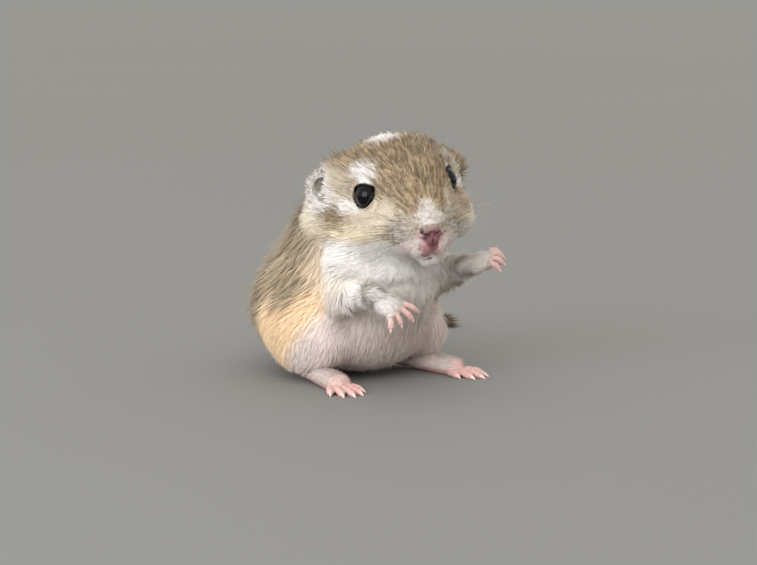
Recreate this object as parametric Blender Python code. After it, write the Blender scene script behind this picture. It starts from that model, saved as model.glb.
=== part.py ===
"""A gerbil pup about three weeks old, life size, sitting up on its haunches.

The hind feet, the rump and the tail rest on the floor. The forepaws are held in front of the
chest, the left one higher, and the head is turned to the animal's right. The animal faces -Y
and its left is +X. Sizes and places are in millimetres, and each finished mesh is scaled to
metres at the end. The outer surfaces are those of the lying coat.
"""

import math

import bmesh
import bpy
from mathutils import Matrix, Vector
from mathutils.bvhtree import BVHTree

# Driving sizes.
EYE_SPACING = 14.6
HIND_FOOT_LENGTH = 18.5
FOREPAW_LENGTH = 7.4
GAP = 0.3
TO_METRES = 0.001
# The origin is on the floor, in the middle of the flat that the rump sits on.
SEAT = Vector((0.0, 14.3, 0.0))
SIDES = {"right": -1, "left": 1}

# The head's own frame has its origin midway between the eye openings.
HEAD_PLACE = Vector((-1.0, -9.0, 32.3))
HEAD_TURN, HEAD_NOD, HEAD_ROLL = (math.radians(a) for a in (-22, 4, -10))
HEAD = (
    Matrix.Translation(HEAD_PLACE)
    @ Matrix.Rotation(HEAD_TURN, 4, "Z")
    @ Matrix.Rotation(HEAD_NOD, 4, "X")
    @ Matrix.Rotation(HEAD_ROLL, 4, "Y")
)
BODY = Matrix.Identity(4)

# Flesh lumps: centre, radii, and tilt in degrees about X. Those in pairs are given on the left.
HEAD_LUMPS = {
    "cranium": ((0, 7.2, 0.9), (9.6, 9.8, 6.7), 0),
    "forehead": ((0, 0.3, 1.1), (6.8, 6.3, 4.4), 25),
    "bridge": ((0, -4.4, -2.4), (4.9, 5.6, 3.3), 30),
    "muzzle_end": ((0, -8.0, -5.4), (2.6, 2.6, 2.6), 10),
    "throat": ((0, 6.0, -4.8), (8.8, 8.0, 5.8), 0),
    "jaw": ((0, -3.0, -7.4), (5.0, 6.0, 3.4), -8),
    "chin": ((0, -6.9, -10.2), (1.9, 2.0, 1.5), 0),
}
HEAD_PAIRS = {
    "cheek": ((6.0, 2.8, -5.5), (5.2, 6.8, 5.0), 0),
    "ear_root": ((7.2, 8.4, -0.8), (3.4, 4.0, 3.6), 0),
    "whisker_pad": ((2.6, -5.4, -5.8), (3.0, 3.8, 3.2), 14),
    "lip": ((1.1, -8.3, -7.6), (1.5, 2.0, 2.0), 0),
    "brow": ((4.9, 0.9, 1.4), (2.4, 3.6, 2.2), 20),
}
BODY_LUMPS = {
    "nape": ((-1.2, 5.4, 25.2), (9.8, 8.0, 7.6), -30),
    "neck": ((-0.6, -2.0, 24.5), (8.4, 6.6, 6.6), -30),
    "chest": ((0, -2.4, 19.0), (9.0, 8.2, 9.6), -35),
    "back": ((0, 9.5, 14.0), (12.8, 11.4, 12.4), -30),
    "belly": ((0, 3.5, 9.5), (11.2, 10.0, 8.6), 0),
    "rump": ((0, 15.2, 8.7), (12.6, 9.6, 9.4), 0),
}
BODY_PAIRS = {
    "haunch": ((11.0, 5.5, 7.4), (4.8, 8.6, 6.6), 0),
}

# Shoulder, elbow and wrist of each foreleg.
FORELEGS = {
    "right": ((-8.5, -2.5, 20.5), (-10.5, -3.0, 14.0), (-9.6, -11.4, 15.8)),
    "left": ((8.5, -2.5, 20.5), (11.5, -1.5, 15.0), (11.6, -8.6, 18.6)),
}
UPPER_ARM_RADIUS = 3.7
FOREARM_RADIUS = 2.2
# How far a limb's lump reaches past its two joints, in radii.
LIMB_ENDS = 0.6
# Which way the fingers and the back of each forepaw point.
FOREPAW_WAYS = {
    "right": ((0.49, -0.67, -0.50), (-0.37, -0.47, 0.74)),
    "left": ((0.62, -0.70, 0.30), (-0.45, -0.15, 0.85)),
}
HEEL = Vector((9.6, 7.0, 0.0))
FOOT_TURN_OUT = math.radians(12)
# The tail's line on the floor, from the rump to the tip, and its radii at the two ends.
TAIL_PATH = (
    (0.5, 19.0), (2.0, 26.0), (6.0, 33.0), (13.0, 38.5), (21.0, 41.5), (29.0, 41.5), (42.0, 35.0)
)
TAIL_RADII = (2.6, 1.0)
# A box wider than the animal, to cut with.
FAR = 90


def clear_scene():
    for obj in list(bpy.data.objects):
        bpy.data.objects.remove(obj)


def add_object(name, mesh):
    obj = bpy.data.objects.new(name, mesh)
    bpy.context.scene.collection.objects.link(obj)
    return obj


def applied(obj):
    """The object with its modifiers made part of its mesh."""
    bpy.context.view_layer.update()
    graph = bpy.context.evaluated_depsgraph_get()
    mesh = bpy.data.meshes.new_from_object(obj.evaluated_get(graph))
    obj.modifiers.clear()
    obj.data = mesh
    return obj


# Points and faces are put in order along this way, so that each run gives the same mesh.
ORDER = Vector((1.0, 0.618, 0.277))


def keep_largest(obj):
    """Drops loose scraps and sealed hollows, so that one closed surface in a set order is left."""
    mesh = bmesh.new()
    mesh.from_mesh(obj.data)
    mesh.verts.sort(key=lambda vert: vert.co.dot(ORDER))
    mesh.faces.sort(key=lambda face: face.calc_center_median().dot(ORDER))
    unseen = dict.fromkeys(mesh.faces)
    shells = []
    while unseen:
        shell = [unseen.popitem()[0]]
        for face in shell:
            for edge in face.edges:
                for other in edge.link_faces:
                    if other in unseen:
                        del unseen[other]
                        shell.append(other)
        shells.append(shell)
    shells.sort(key=len)
    for shell in shells[:-1]:
        bmesh.ops.delete(mesh, geom=shell, context="FACES")
    loose = [v for v in mesh.verts if not v.link_faces]
    bmesh.ops.delete(mesh, geom=loose, context="VERTS")
    mesh.to_mesh(obj.data)
    mesh.free()
    return obj


def combine(obj, others, operation):
    """One Boolean of an object with a collection of closed meshes, which are then removed."""
    group = bpy.data.collections.new("operands")
    for other in others:
        group.objects.link(other)
    boolean = obj.modifiers.new(operation.lower(), "BOOLEAN")
    boolean.operation = operation
    boolean.operand_type = "COLLECTION"
    boolean.collection = group
    boolean.solver = "MANIFOLD"
    applied(obj)
    bpy.data.collections.remove(group)
    for other in others:
        bpy.data.objects.remove(other)
    return keep_largest(obj)


def fuse(name, pieces):
    obj = combine(pieces[0], pieces[1:], "UNION")
    obj.name = name
    return obj


def copy_of(obj, name):
    return add_object(name, obj.data.copy())


def ball(centre, radii, frame=BODY, turn=BODY, segments=16, rings=10):
    """An ellipsoid, placed and turned in the given frame."""
    mesh = bmesh.new()
    bmesh.ops.create_uvsphere(mesh, u_segments=segments, v_segments=rings, radius=1.0)
    shape = Matrix.Diagonal((*radii, 1.0))
    mesh.transform(frame @ Matrix.Translation(Vector(centre)) @ turn @ shape)
    data = bpy.data.meshes.new("ball")
    mesh.to_mesh(data)
    mesh.free()
    return add_object("ball", data)


def box(low, high, frame=BODY):
    low, high = Vector(low), Vector(high)
    mesh = bmesh.new()
    bmesh.ops.create_cube(mesh, size=1.0)
    mesh.transform(
        frame @ Matrix.Translation((low + high) / 2) @ Matrix.Diagonal((*(high - low), 1.0))
    )
    data = bpy.data.meshes.new("box")
    mesh.to_mesh(data)
    mesh.free()
    return add_object("box", data)


def rings_mesh(name, rings, first_tip=None, last_tip=None):
    """A closed skin over rings of equal count, ended by a tip point or a flat fan."""
    mesh = bmesh.new()
    rows = [[mesh.verts.new(p) for p in ring] for ring in rings]
    for row, after in zip(rows, rows[1:]):
        count = len(row)
        for i in range(count):
            j = (i + 1) % count
            mesh.faces.new((row[i], row[j], after[j], after[i]))
    for row, tip, way in ((rows[0], first_tip, -1), (rows[-1], last_tip, 1)):
        if tip is None:
            tip = sum((v.co for v in row), Vector()) / len(row)
        peak = mesh.verts.new(tip)
        ordered = row[::way]
        for i, vert in enumerate(ordered):
            mesh.faces.new((vert, ordered[(i + 1) % len(ordered)], peak))
    bmesh.ops.recalc_face_normals(mesh, faces=mesh.faces)
    data = bpy.data.meshes.new(name)
    mesh.to_mesh(data)
    mesh.free()
    return add_object(name, data)


def smooth_path(points, count):
    """Evenly numbered points on a Catmull-Rom curve through the given ones."""
    points = [Vector(p) for p in points]
    ends = [2 * points[0] - points[1], *points, 2 * points[-1] - points[-2]]
    spans = len(points) - 1
    made = []
    for k in range(count):
        place = k / (count - 1) * spans
        i = min(int(place), spans - 1)
        t = place - i
        a, b, c, d = ends[i : i + 4]
        made.append(
            0.5
            * (
                2 * b
                + (c - a) * t
                + (2 * a - 5 * b + 4 * c - d) * t * t
                + (3 * b - a - 3 * c + d) * t**3
            )
        )
    return made


def tube(points, radii, sides=8, flatness=1.0, up=(0, 0, 1), tipped=True):
    """A tapered tube along points. Its section is flatness times as high, along up, as wide."""
    up = Vector(up)
    rings = []
    for i, point in enumerate(points):
        along = (points[min(i + 1, len(points) - 1)] - points[max(i - 1, 0)]).normalized()
        across = along.cross(up).normalized()
        over = across.cross(along)
        rings.append(
            [
                point
                + across * radii[i] * math.cos(math.tau * k / sides)
                + over * radii[i] * flatness * math.sin(math.tau * k / sides)
                for k in range(sides)
            ]
        )
    first, last = None, None
    if tipped:
        first = points[0] - (points[1] - points[0]).normalized() * radii[0] * 0.6
        last = points[-1] + (points[-1] - points[-2]).normalized() * radii[-1] * 0.6
    return rings_mesh("tube", rings, first, last)


def above_floor(obj, level=0.0):
    """Cuts away what reaches below the floor, which leaves a small flat there."""
    return combine(obj, [box((-FAR, -FAR, level - FAR), (FAR, FAR, level))], "DIFFERENCE")


# The blended flesh is one smooth surface over all the lumps.
STIFFNESS = 4.0
THRESHOLD = 0.6
REACH = 1 / math.sqrt(1 - (THRESHOLD / STIFFNESS) ** (1 / 3))
FLESH_STEP = 0.7
REMESH_STEP = 0.6
FLESH_TRIANGLES = 7000


def add_lump(flesh, centre, radii, turn):
    lump = flesh.elements.new(type="ELLIPSOID")
    lump.co = centre
    lump.radius = REACH
    lump.size_x, lump.size_y, lump.size_z = radii
    lump.stiffness = STIFFNESS
    lump.rotation = turn


def add_lumps(flesh, frame, lumps, pairs):
    for table, sides in ((lumps, (1,)), (pairs, SIDES.values())):
        for (x, y, z), radii, tilt in table.values():
            turn = (frame @ Matrix.Rotation(math.radians(tilt), 4, "X")).to_quaternion()
            for side in sides:
                add_lump(flesh, frame @ Vector((side * x, y, z)), radii, turn)


def add_limb(flesh, start, end, radius):
    start, end = Vector(start), Vector(end)
    along = end - start
    radii = (radius, radius, along.length / 2 + radius * LIMB_ENDS)
    add_lump(flesh, (start + end) / 2, radii, along.to_track_quat("Z", "Y"))


def make_flesh():
    flesh = bpy.data.metaballs.new("flesh")
    flesh.resolution = flesh.render_resolution = FLESH_STEP
    flesh.threshold = THRESHOLD
    add_lumps(flesh, HEAD, HEAD_LUMPS, HEAD_PAIRS)
    add_lumps(flesh, BODY, BODY_LUMPS, BODY_PAIRS)
    for shoulder, elbow, wrist in FORELEGS.values():
        add_limb(flesh, shoulder, elbow, UPPER_ARM_RADIUS)
        add_limb(flesh, elbow, wrist, FOREARM_RADIUS)
    blend = bpy.data.objects.new("blend", flesh)
    bpy.context.scene.collection.objects.link(blend)
    bpy.context.view_layer.update()
    graph = bpy.context.evaluated_depsgraph_get()
    obj = add_object("flesh", bpy.data.meshes.new_from_object(blend.evaluated_get(graph)))
    bpy.data.objects.remove(blend)
    remesh = obj.modifiers.new("even", "REMESH")
    remesh.mode = "VOXEL"
    remesh.voxel_size = REMESH_STEP
    applied(obj)
    fewer = obj.modifiers.new("fewer", "DECIMATE")
    fewer.ratio = FLESH_TRIANGLES / (2 * len(obj.data.polygons))
    applied(obj)
    return above_floor(keep_largest(obj))


# Eyes: a ball with a raised cornea, in a socket roofed by thin lids.
EYE_RADIUS = 2.5
CORNEA_RADIUS = 2.75
EYE_FORWARD, EYE_UP = math.radians(38), math.radians(6)
LID_THICKNESS = 0.5
# How deep the eye's middle lies behind the opening, in eye radii.
EYE_SUNK = 0.86
# The opening between the lids, as a loop of (towards the nose, up).
LID_OPENING = (
    (-1.65, 1.55), (0.0, 1.9), (1.6, 1.45), (2.2, 0.75), (1.45, -0.5),
    (0.35, -1.4), (-1.0, -1.75), (-1.9, -0.9), (-2.05, 0.45),
)
# The plug that opens the lids: heights in eye radii, and its width there.
LID_PLUG = ((0.4, 1.0), (0.8, 1.0), (2.0, 1.6))
LID_STEPS = 2


def eye_frame(side):
    """The eye's own frame: +Z looks out through the opening, +Y is up."""
    look = Vector(
        (side * math.cos(EYE_FORWARD), -math.sin(EYE_FORWARD), math.sin(EYE_UP))
    ).normalized()
    across = Vector((0, 0, 1)).cross(look).normalized()
    over = look.cross(across)
    turn = Matrix((across, over, look)).transposed().to_4x4()
    opening = Vector((side * EYE_SPACING / 2, 0, 0))
    return HEAD @ Matrix.Translation(opening - look * EYE_RADIUS * EYE_SUNK) @ turn


def make_eye(side_name):
    radii = (EYE_RADIUS, EYE_RADIUS, CORNEA_RADIUS)
    eye = ball((0, 0, 0), radii, eye_frame(SIDES[side_name]), segments=18, rings=12)
    eye.name = f"eye_{side_name}"
    return eye


def lid_opening(side, frame):
    """A closed plug, widening outwards, whose section is the opening between the lids."""
    loop = [Vector((-side * x, y, 0)) for x, y in LID_OPENING]
    count = (len(loop) + 2) * LID_STEPS + 1
    closed = smooth_path([loop[-1], *loop, loop[0], loop[1]], count)
    ring = closed[LID_STEPS : -2 * LID_STEPS]
    rings = [
        [frame @ (p * scale + Vector((0, 0, EYE_RADIUS * height))) for p in ring]
        for height, scale in LID_PLUG
    ]
    return rings_mesh("opening", rings)


def fit_eyes(head):
    """Adds lids to the head, hollows the sockets and opens the lids."""
    lids, sockets = [], []
    for side in SIDES.values():
        frame = eye_frame(side)
        room = EYE_RADIUS + GAP
        lid = room + LID_THICKNESS
        lids.append(ball((0, 0, 0), (lid, lid, lid), frame))
        sockets.append(ball((0, 0, 0), (room, room, CORNEA_RADIUS + GAP), frame))
        sockets.append(lid_opening(side, frame))
    combine(head, lids, "UNION")
    return combine(head, sockets, "DIFFERENCE")


# Ears: a small open cup with a taller rim above and behind.
# Place and looking direction of each cup. The far ear is laid back against the head.
EARS = {
    "right": (Vector((-11.3, 10.0, -0.1)), Vector((-0.62, -0.74, 0.10))),
    "left": (Vector((9.9, 10.4, 0.0)), Vector((0.92, -0.34, 0.18))),
}
EAR_RADII = (2.6, 2.8)
EAR_DEPTH = 2.4
EAR_WALL = 0.6
EAR_SEGMENTS = 16
# How much more the cup reaches upwards and outwards.
EAR_TALLER, EAR_WIDER = 0.16, 0.10
# The rings of the cup, in degrees round from its deepest point.
EAR_OUTER = (22, 44, 66, 88, 104)
EAR_RIM = 110
EAR_INNER = (104, 84, 60, 32)


def ear_frame(side_name):
    """The ear's own frame: +Z looks out of the cup, +Y is up."""
    place, look = EARS[side_name]
    look = look.normalized()
    across = Vector((0, 0, 1)).cross(look).normalized()
    over = look.cross(across)
    turn = Matrix((across, over, look)).transposed().to_4x4()
    return HEAD @ Matrix.Translation(place) @ turn


def ear_ring(frame, side, angle, thinner):
    """One ring of the cup, angle degrees round from its deepest point."""
    turn = math.radians(angle)
    ring = []
    for k in range(EAR_SEGMENTS):
        way = math.tau * k / EAR_SEGMENTS
        outward = math.cos(way) * side
        taller = 1 + EAR_TALLER * math.sin(way) + EAR_WIDER * outward
        x = (EAR_RADII[0] - thinner) * taller * math.sin(turn) * math.cos(way)
        y = (EAR_RADII[1] - thinner) * taller * math.sin(turn) * math.sin(way)
        z = -(EAR_DEPTH - thinner) * math.cos(turn) * (2 - taller)
        ring.append(frame @ Vector((x, y, z)))
    return ring


def make_ear(side_name):
    side = SIDES[side_name]
    frame = ear_frame(side_name)
    outer = [ear_ring(frame, side, angle, 0.0) for angle in EAR_OUTER]
    rim = [ear_ring(frame, side, EAR_RIM, EAR_WALL / 2)]
    inner = [ear_ring(frame, side, angle, EAR_WALL) for angle in EAR_INNER]
    bottom = frame @ Vector((0, 0, -EAR_DEPTH))
    hollow = frame @ Vector((0, 0, -EAR_DEPTH + EAR_WALL))
    return rings_mesh(f"ear_{side_name}", outer + rim + inner, bottom, hollow)


def ear_room(side_name):
    """The space that the cup takes in the head."""
    radii = (EAR_RADII[0] * 1.1 + GAP, EAR_RADII[1] * 1.08 + GAP, EAR_DEPTH * 1.12 + GAP)
    return ball((0, 0, 0), radii, ear_frame(side_name), segments=14, rings=10)


# Nose: a band over two wings, drawn down to the groove of the lip, with a slit in each wing.
NOSE_BAND = ((0, -10.3, -5.0), (1.8, 1.3, 0.85))
NOSE_WING = ((1.05, -10.3, -5.5), (0.95, 1.2, 0.8))
NOSE_FOOT = ((0, -9.9, -6.5), (0.7, 0.95, 1.1))
NOSTRIL_PLACE = (1.2, -11.3, -5.6)
NOSTRIL_RADII = (0.62, 0.7, 0.26)
NOSTRIL_SLANT = math.radians(32)


def nose_shape(extra=0.0):
    def grown(radii):
        return [r + extra for r in radii]

    (x, y, z), radii = NOSE_WING
    pieces = [
        ball(NOSE_BAND[0], grown(NOSE_BAND[1]), HEAD, segments=14, rings=8),
        ball(NOSE_FOOT[0], grown(NOSE_FOOT[1]), HEAD, segments=10, rings=7),
    ]
    pieces += [
        ball((side * x, y, z), grown(radii), HEAD, segments=10, rings=7)
        for side in SIDES.values()
    ]
    return fuse("nose", pieces)


def make_nose():
    nostrils = []
    for side in SIDES.values():
        place = (side * NOSTRIL_PLACE[0], *NOSTRIL_PLACE[1:])
        slant = Matrix.Rotation(-side * NOSTRIL_SLANT, 4, "Y")
        nostrils.append(ball(place, NOSTRIL_RADII, HEAD, slant, segments=8, rings=6))
    return combine(nose_shape(), nostrils, "DIFFERENCE")


# The mouth: a groove down from the nose, then the line between the lips.
PHILTRUM = ((0, -12.5, -7.0), (0, -12.5, -8.0), (0, -12.0, -8.9))
LIP_LINE = ((0, -12.0, -8.8), (1.3, -11.5, -9.5), (2.6, -9.0, -9.5), (3.9, -6.0, -9.0))
GROOVE_RADIUS = 0.4
GROOVE_STEPS = 6


def groove(head_tree, points, side=1):
    """A thin tube laid along the head's surface, to be cut out of it."""
    found = []
    for point in smooth_path([(side * x, y, z) for x, y, z in points], GROOVE_STEPS):
        place = HEAD @ point
        found.append(head_tree.find_nearest(place)[0])
    return tube(found, [GROOVE_RADIUS] * len(found), sides=6)


def cut_mouth(head):
    mesh = bmesh.new()
    mesh.from_mesh(head.data)
    tree = BVHTree.FromBMesh(mesh)
    mesh.free()
    grooves = [groove(tree, PHILTRUM)]
    grooves += [groove(tree, LIP_LINE, side) for side in SIDES.values()]
    line = fuse("mouth_line", grooves)
    return combine(head, [line], "DIFFERENCE")


# Digits: each arches over its knuckles, bends down and ends in a curved claw.
CLAW_LENGTH = 1.3
# Each bone's share of a digit's length, and its slope in bends.
BONES = ((0.36, 0.3), (0.32, -0.3), (0.32, -1.0))


def digit(frame, root, way, length, radius, bend):
    """Closed pieces of one finger or toe and its claw, in the frame of the paw."""
    way = Vector(way).normalized()

    def heading(angle):
        turn = math.radians(angle)
        return way * math.cos(turn) + Vector((0, 0, math.sin(turn)))

    path = [Vector(root)]
    for share, slope in BONES:
        path.append(path[-1] + heading(slope * bend) * length * share)
    nail = [path[-1] - heading(-bend) * radius * 0.3]
    for share, angle in ((0.55, -0.8 * bend - 4), (0.6, -1.1 * bend - 12)):
        nail.append(nail[-1] + heading(angle) * CLAW_LENGTH * share)
    radii = [radius, radius, radius * 0.94, radius * 0.78]
    nail_radii = [radius * 0.5, radius * 0.4, radius * 0.13]
    over = frame.to_3x3() @ Vector((0, 0, 1))
    return [
        tube([frame @ p for p in path], radii, sides=8, up=over),
        tube([frame @ p for p in nail], nail_radii, sides=6, up=over),
    ]


WRIST_RADIUS = 1.45
PALM_HALF_WIDTH, PALM_HALF_HEIGHT = 1.95, 1.15
THUMB_PLACE = (1.35, 0.35, 0.5)
THUMB_RADII = (0.5, 0.8, 0.5)
# Place across the palm, splay in degrees and share of the finger length, from -X to +X.
FINGERS = {
    "right": ((-1.4, 48, 0.80), (-0.5, 20, 0.86), (0.5, -4, 1.08), (1.35, -22, 1.12)),
    "left": ((-1.4, 34, 0.84), (-0.5, 11, 1.0), (0.5, -9, 1.0), (1.35, -27, 0.85)),
}
FINGER_BEND = {"right": 36, "left": 66}
FINGER_RADIUS = 0.55
FINGER_SHARE = 0.42


def paw_frame(place, way, back):
    """A paw's own frame: fingers towards -Y, the back of the paw +Z."""
    ahead = -Vector(way).normalized()
    over = Vector(back)
    over = (over - ahead * over.dot(ahead)).normalized()
    across = ahead.cross(over)
    turn = Matrix((across, ahead, over)).transposed().to_4x4()
    return Matrix.Translation(Vector(place)) @ turn


def make_forepaw(side_name):
    side = SIDES[side_name]
    frame = paw_frame(FORELEGS[side_name][2], *FOREPAW_WAYS[side_name])
    palm_length = FOREPAW_LENGTH * (1 - FINGER_SHARE)
    palm = (PALM_HALF_WIDTH, palm_length * 0.58, PALM_HALF_HEIGHT)
    across, along, below = THUMB_PLACE
    thumb = (-side * across, -palm_length * along, -below)
    pieces = [
        ball((0, -palm_length * 0.55, 0), palm, frame, segments=14, rings=10),
        ball((0, 0, 0), (WRIST_RADIUS,) * 3, frame, segments=12, rings=8),
        ball(thumb, THUMB_RADII, frame, segments=8, rings=6),
    ]
    for across, splay, share in FINGERS[side_name]:
        turn = math.radians(splay)
        way = (-math.sin(turn), -math.cos(turn), 0)
        length = FOREPAW_LENGTH * FINGER_SHARE * share
        root = (across, -palm_length * 0.84, 0.0)
        pieces += digit(frame, root, way, length, FINGER_RADIUS, FINGER_BEND[side_name])
    return fuse(f"forepaw_{side_name}", pieces)


TOES = ((-1.7, 24, 0.50), (-0.95, 9, 0.86), (-0.05, 0, 1.0), (0.85, -9, 0.90), (1.6, -24, 0.60))
TOE_BEND = 9
TOE_RADIUS = 0.68
TOE_SHARE = 0.26
TOE_HEIGHT = 0.58
# The foot's centres as places behind the heel's front and heights, and its half widths at the ends.
FOOT_LINE = ((0, 1.7), (-4.0, 1.55), (-8.5, 1.35))
BALL_HEIGHT = 1.2
FOOT_HALF_WIDTHS = (1.7, 2.05)
FOOT_FLATNESS = 0.78
FOOT_STEPS = 7


def foot_frame(side):
    place = Vector((side * HEEL.x, HEEL.y, HEEL.z))
    return Matrix.Translation(place) @ Matrix.Rotation(side * FOOT_TURN_OUT, 4, "Z")


def foot_body(side, extra=0.0):
    """The long flat foot without its toes."""
    frame = foot_frame(side)
    ball_of_foot = HIND_FOOT_LENGTH * (1 - TOE_SHARE) - 1.0
    centres = [*FOOT_LINE, (-ball_of_foot, BALL_HEIGHT)]
    path = smooth_path([frame @ Vector((0, y, z)) for y, z in centres], FOOT_STEPS)
    heel, toes = FOOT_HALF_WIDTHS
    wide = [heel + (toes - heel) * i / (FOOT_STEPS - 1) + extra for i in range(FOOT_STEPS)]
    return tube(path, wide, sides=12, flatness=FOOT_FLATNESS + extra * 0.15)


def make_hindfoot(side_name):
    side = SIDES[side_name]
    frame = foot_frame(side)
    pieces = [foot_body(side)]
    start = HIND_FOOT_LENGTH * (1 - TOE_SHARE) - 0.9
    for across, splay, share in TOES:
        turn = math.radians(splay)
        across, turn = side * across, side * turn
        way = (-math.sin(turn), -math.cos(turn), 0)
        length = (HIND_FOOT_LENGTH * TOE_SHARE + 0.2) * share
        root = (across, -start, TOE_HEIGHT)
        pieces += digit(frame, root, way, length, TOE_RADIUS, TOE_BEND)
    return above_floor(fuse(f"hindfoot_{side_name}", pieces))


# Tail: three lengths laid on the floor, the last with a small brush of locks.
TAIL_STEPS = 40
TAIL_CUTS = (0, 14, 27, 39)
# How far the tail's flat goes up into it.
TAIL_FLAT = 0.12
# Rows of locks along the last length: place, number of locks, and their length.
LOCK_ROWS = ((0.10, 5, 4.6), (0.32, 6, 4.8), (0.54, 6, 4.8), (0.74, 6, 4.6), (0.92, 5, 4.4))
LOCK_WIDTH = 1.0
LOCK_THICKNESS = 0.55
# A lock's rings as shares of its length, of its width, and of its length as lift.
LOCK_RINGS = ((0, 0.8, 0.0), (0.4, 1.0, 0.10), (0.75, 0.6, 0.15))
LOCK_TIP_LIFT = 0.16


def tail_line():
    """Centres and radii of the whole tail, resting on the floor."""
    flat = smooth_path([(x, y, 0) for x, y in TAIL_PATH], TAIL_STEPS)
    radii, line = [], []
    for i, point in enumerate(flat):
        share = i / (TAIL_STEPS - 1)
        radius = TAIL_RADII[0] + (TAIL_RADII[1] - TAIL_RADII[0]) * share**0.7
        radii.append(radius)
        line.append(Vector((point.x, point.y, radius - TAIL_FLAT)))
    return line, radii


def lock(root, way, out, length):
    """A flat tapered lock that lifts a little and bends back towards its lie."""
    across = way.cross(out).normalized()
    rings = []
    for share, wide, lift in LOCK_RINGS:
        centre = root + way * length * share + out * length * lift
        half_w = across * LOCK_WIDTH / 2 * wide
        half_t = out * LOCK_THICKNESS / 2 * (wide**0.5)
        rings.append([centre + half_w, centre + half_t, centre - half_w, centre - half_t])
    tip = root + way * length + out * length * LOCK_TIP_LIFT
    return rings_mesh("lock", rings, None, tip)


def tail_brush(line, radii):
    """Rows of locks on the upper half of the last length of the tail."""
    locks = []
    first, last = TAIL_CUTS[2] + 1, TAIL_STEPS - 1
    for row, (share, count, length) in enumerate(LOCK_ROWS):
        i = round(first + (last - first) * share)
        way = (line[min(i + 1, last)] - line[i - 1]).normalized()
        side = way.cross(Vector((0, 0, 1))).normalized()
        for k in range(count):
            angle = math.pi * (k + 0.5) / count
            out = side * math.cos(angle) + Vector((0, 0, 1)) * math.sin(angle)
            root = line[i] + out * radii[i] * 0.5
            locks.append(lock(root, (way + out * 0.04).normalized(), out, length))
    return locks


def make_tail():
    line, radii = tail_line()
    names = ("tail_base", "tail_middle", "tail_tip")
    lengths = []
    for name, start, end in zip(names, TAIL_CUTS, TAIL_CUTS[1:]):
        points, thick = line[start : end + 1], radii[start : end + 1]
        if start:
            along = (points[1] - points[0]).normalized()
            points = [points[0] + along * GAP, *points[1:]]
        last = name == names[-1]
        piece = tube(points, thick, sides=10, tipped=False)
        if last:
            piece = fuse(name, [piece, *tail_brush(line, radii)])
        piece.name = name
        lengths.append(above_floor(piece))
    return lengths


def tail_room():
    line, radii = tail_line()
    count = TAIL_CUTS[1]
    return tube(line[:count], [r + GAP for r in radii[:count]], sides=12)


# Where the flesh is parted: a capsule round each foreleg, an egg round each thigh,
# and two planes across the neck.
NECK_FACE = (Vector((0, 3.0, -9.8)), math.radians(38.5))
NECK_LENGTH = 4.4
THIGH_PLACE = Vector((12.4, 5.6, 7.6))
THIGH_RADII = Vector((6.4, 10.4, 9.6))
# Radii of the balls from the shoulder to the wrist, and how far out they stand.
FORELEG_ROOM = (4.9, 5.0, 5.0, 4.1, 3.6)
FORELEG_OUT = 0.5


def foreleg_room(side_name, extra=0.0):
    """Overlapping balls from the shoulder to the wrist."""
    path = smooth_path(FORELEGS[side_name], len(FORELEG_ROOM))
    out = Vector((SIDES[side_name] * FORELEG_OUT, 0, 0))
    pieces = [
        ball(place + out, (radius + extra,) * 3, segments=14, rings=10)
        for place, radius in zip(path, FORELEG_ROOM)
    ]
    return fuse("foreleg_room", pieces)


def thigh_room(side, extra=0.0):
    centre = Vector((side * THIGH_PLACE.x, THIGH_PLACE.y, THIGH_PLACE.z))
    return ball(centre, THIGH_RADII + Vector((extra,) * 3), segments=20, rings=12)


def part_off(flesh, name, room, wider_room):
    """Takes what lies in the room as its own piece and leaves a thin cut in the flesh."""
    piece = combine(copy_of(flesh, name), [room], "INTERSECT")
    combine(flesh, [wider_room], "DIFFERENCE")
    return piece


def part_flesh(flesh):
    parts = {}
    for name, side in SIDES.items():
        parts[f"foreleg_{name}"] = part_off(
            flesh, f"foreleg_{name}", foreleg_room(name), foreleg_room(name, GAP)
        )
        parts[f"hindleg_{name}"] = part_off(
            flesh, f"hindleg_{name}", thigh_room(side), thigh_room(side, GAP)
        )
    place, slope = NECK_FACE
    frame = HEAD @ Matrix.Translation(place) @ Matrix.Rotation(slope, 4, "X")
    head_room = box((-FAR, -FAR, 0), (FAR, FAR, FAR), frame)
    wider = box((-FAR, -FAR, -GAP), (FAR, FAR, FAR), frame)
    parts["head"] = part_off(flesh, "head", head_room, wider)
    neck_room = box((-FAR, -FAR, -NECK_LENGTH), (FAR, FAR, FAR), frame)
    wider = box((-FAR, -FAR, -NECK_LENGTH - GAP), (FAR, FAR, FAR), frame)
    parts["neck"] = part_off(flesh, "neck", neck_room, wider)
    flesh.name = "torso"
    parts["torso"] = flesh
    return parts


def fit_limbs(parts):
    """Makes room in the flesh for the wrists, the hind feet and the root of the tail."""
    combine(parts["torso"], [tail_room()], "DIFFERENCE")
    for name, side in SIDES.items():
        wrist = ball(FORELEGS[name][2], (WRIST_RADIUS + GAP,) * 3, segments=14, rings=10)
        combine(parts[f"foreleg_{name}"], [wrist], "DIFFERENCE")
        for part in (f"hindleg_{name}", "torso"):
            combine(parts[part], [foot_body(side, GAP)], "DIFFERENCE")


def fit_head(head):
    fit_eyes(head)
    rooms = [ear_room(name) for name in SIDES]
    combine(head, [*rooms, nose_shape(GAP)], "DIFFERENCE")
    cut_mouth(head)


COLOURS = {
    "torso": "C9A77C",
    "neck": "D8C6AA",
    "head": "B59A78",
    "foreleg": "EFE6DC",
    "hindleg": "E3BF8C",
    "forepaw": "E9B7AE",
    "hindfoot": "E9B7AE",
    "ear": "EBD9D0",
    "eye": "0B0A0A",
    "nose": "D98E92",
    "tail": "B89B74",
}


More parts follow.
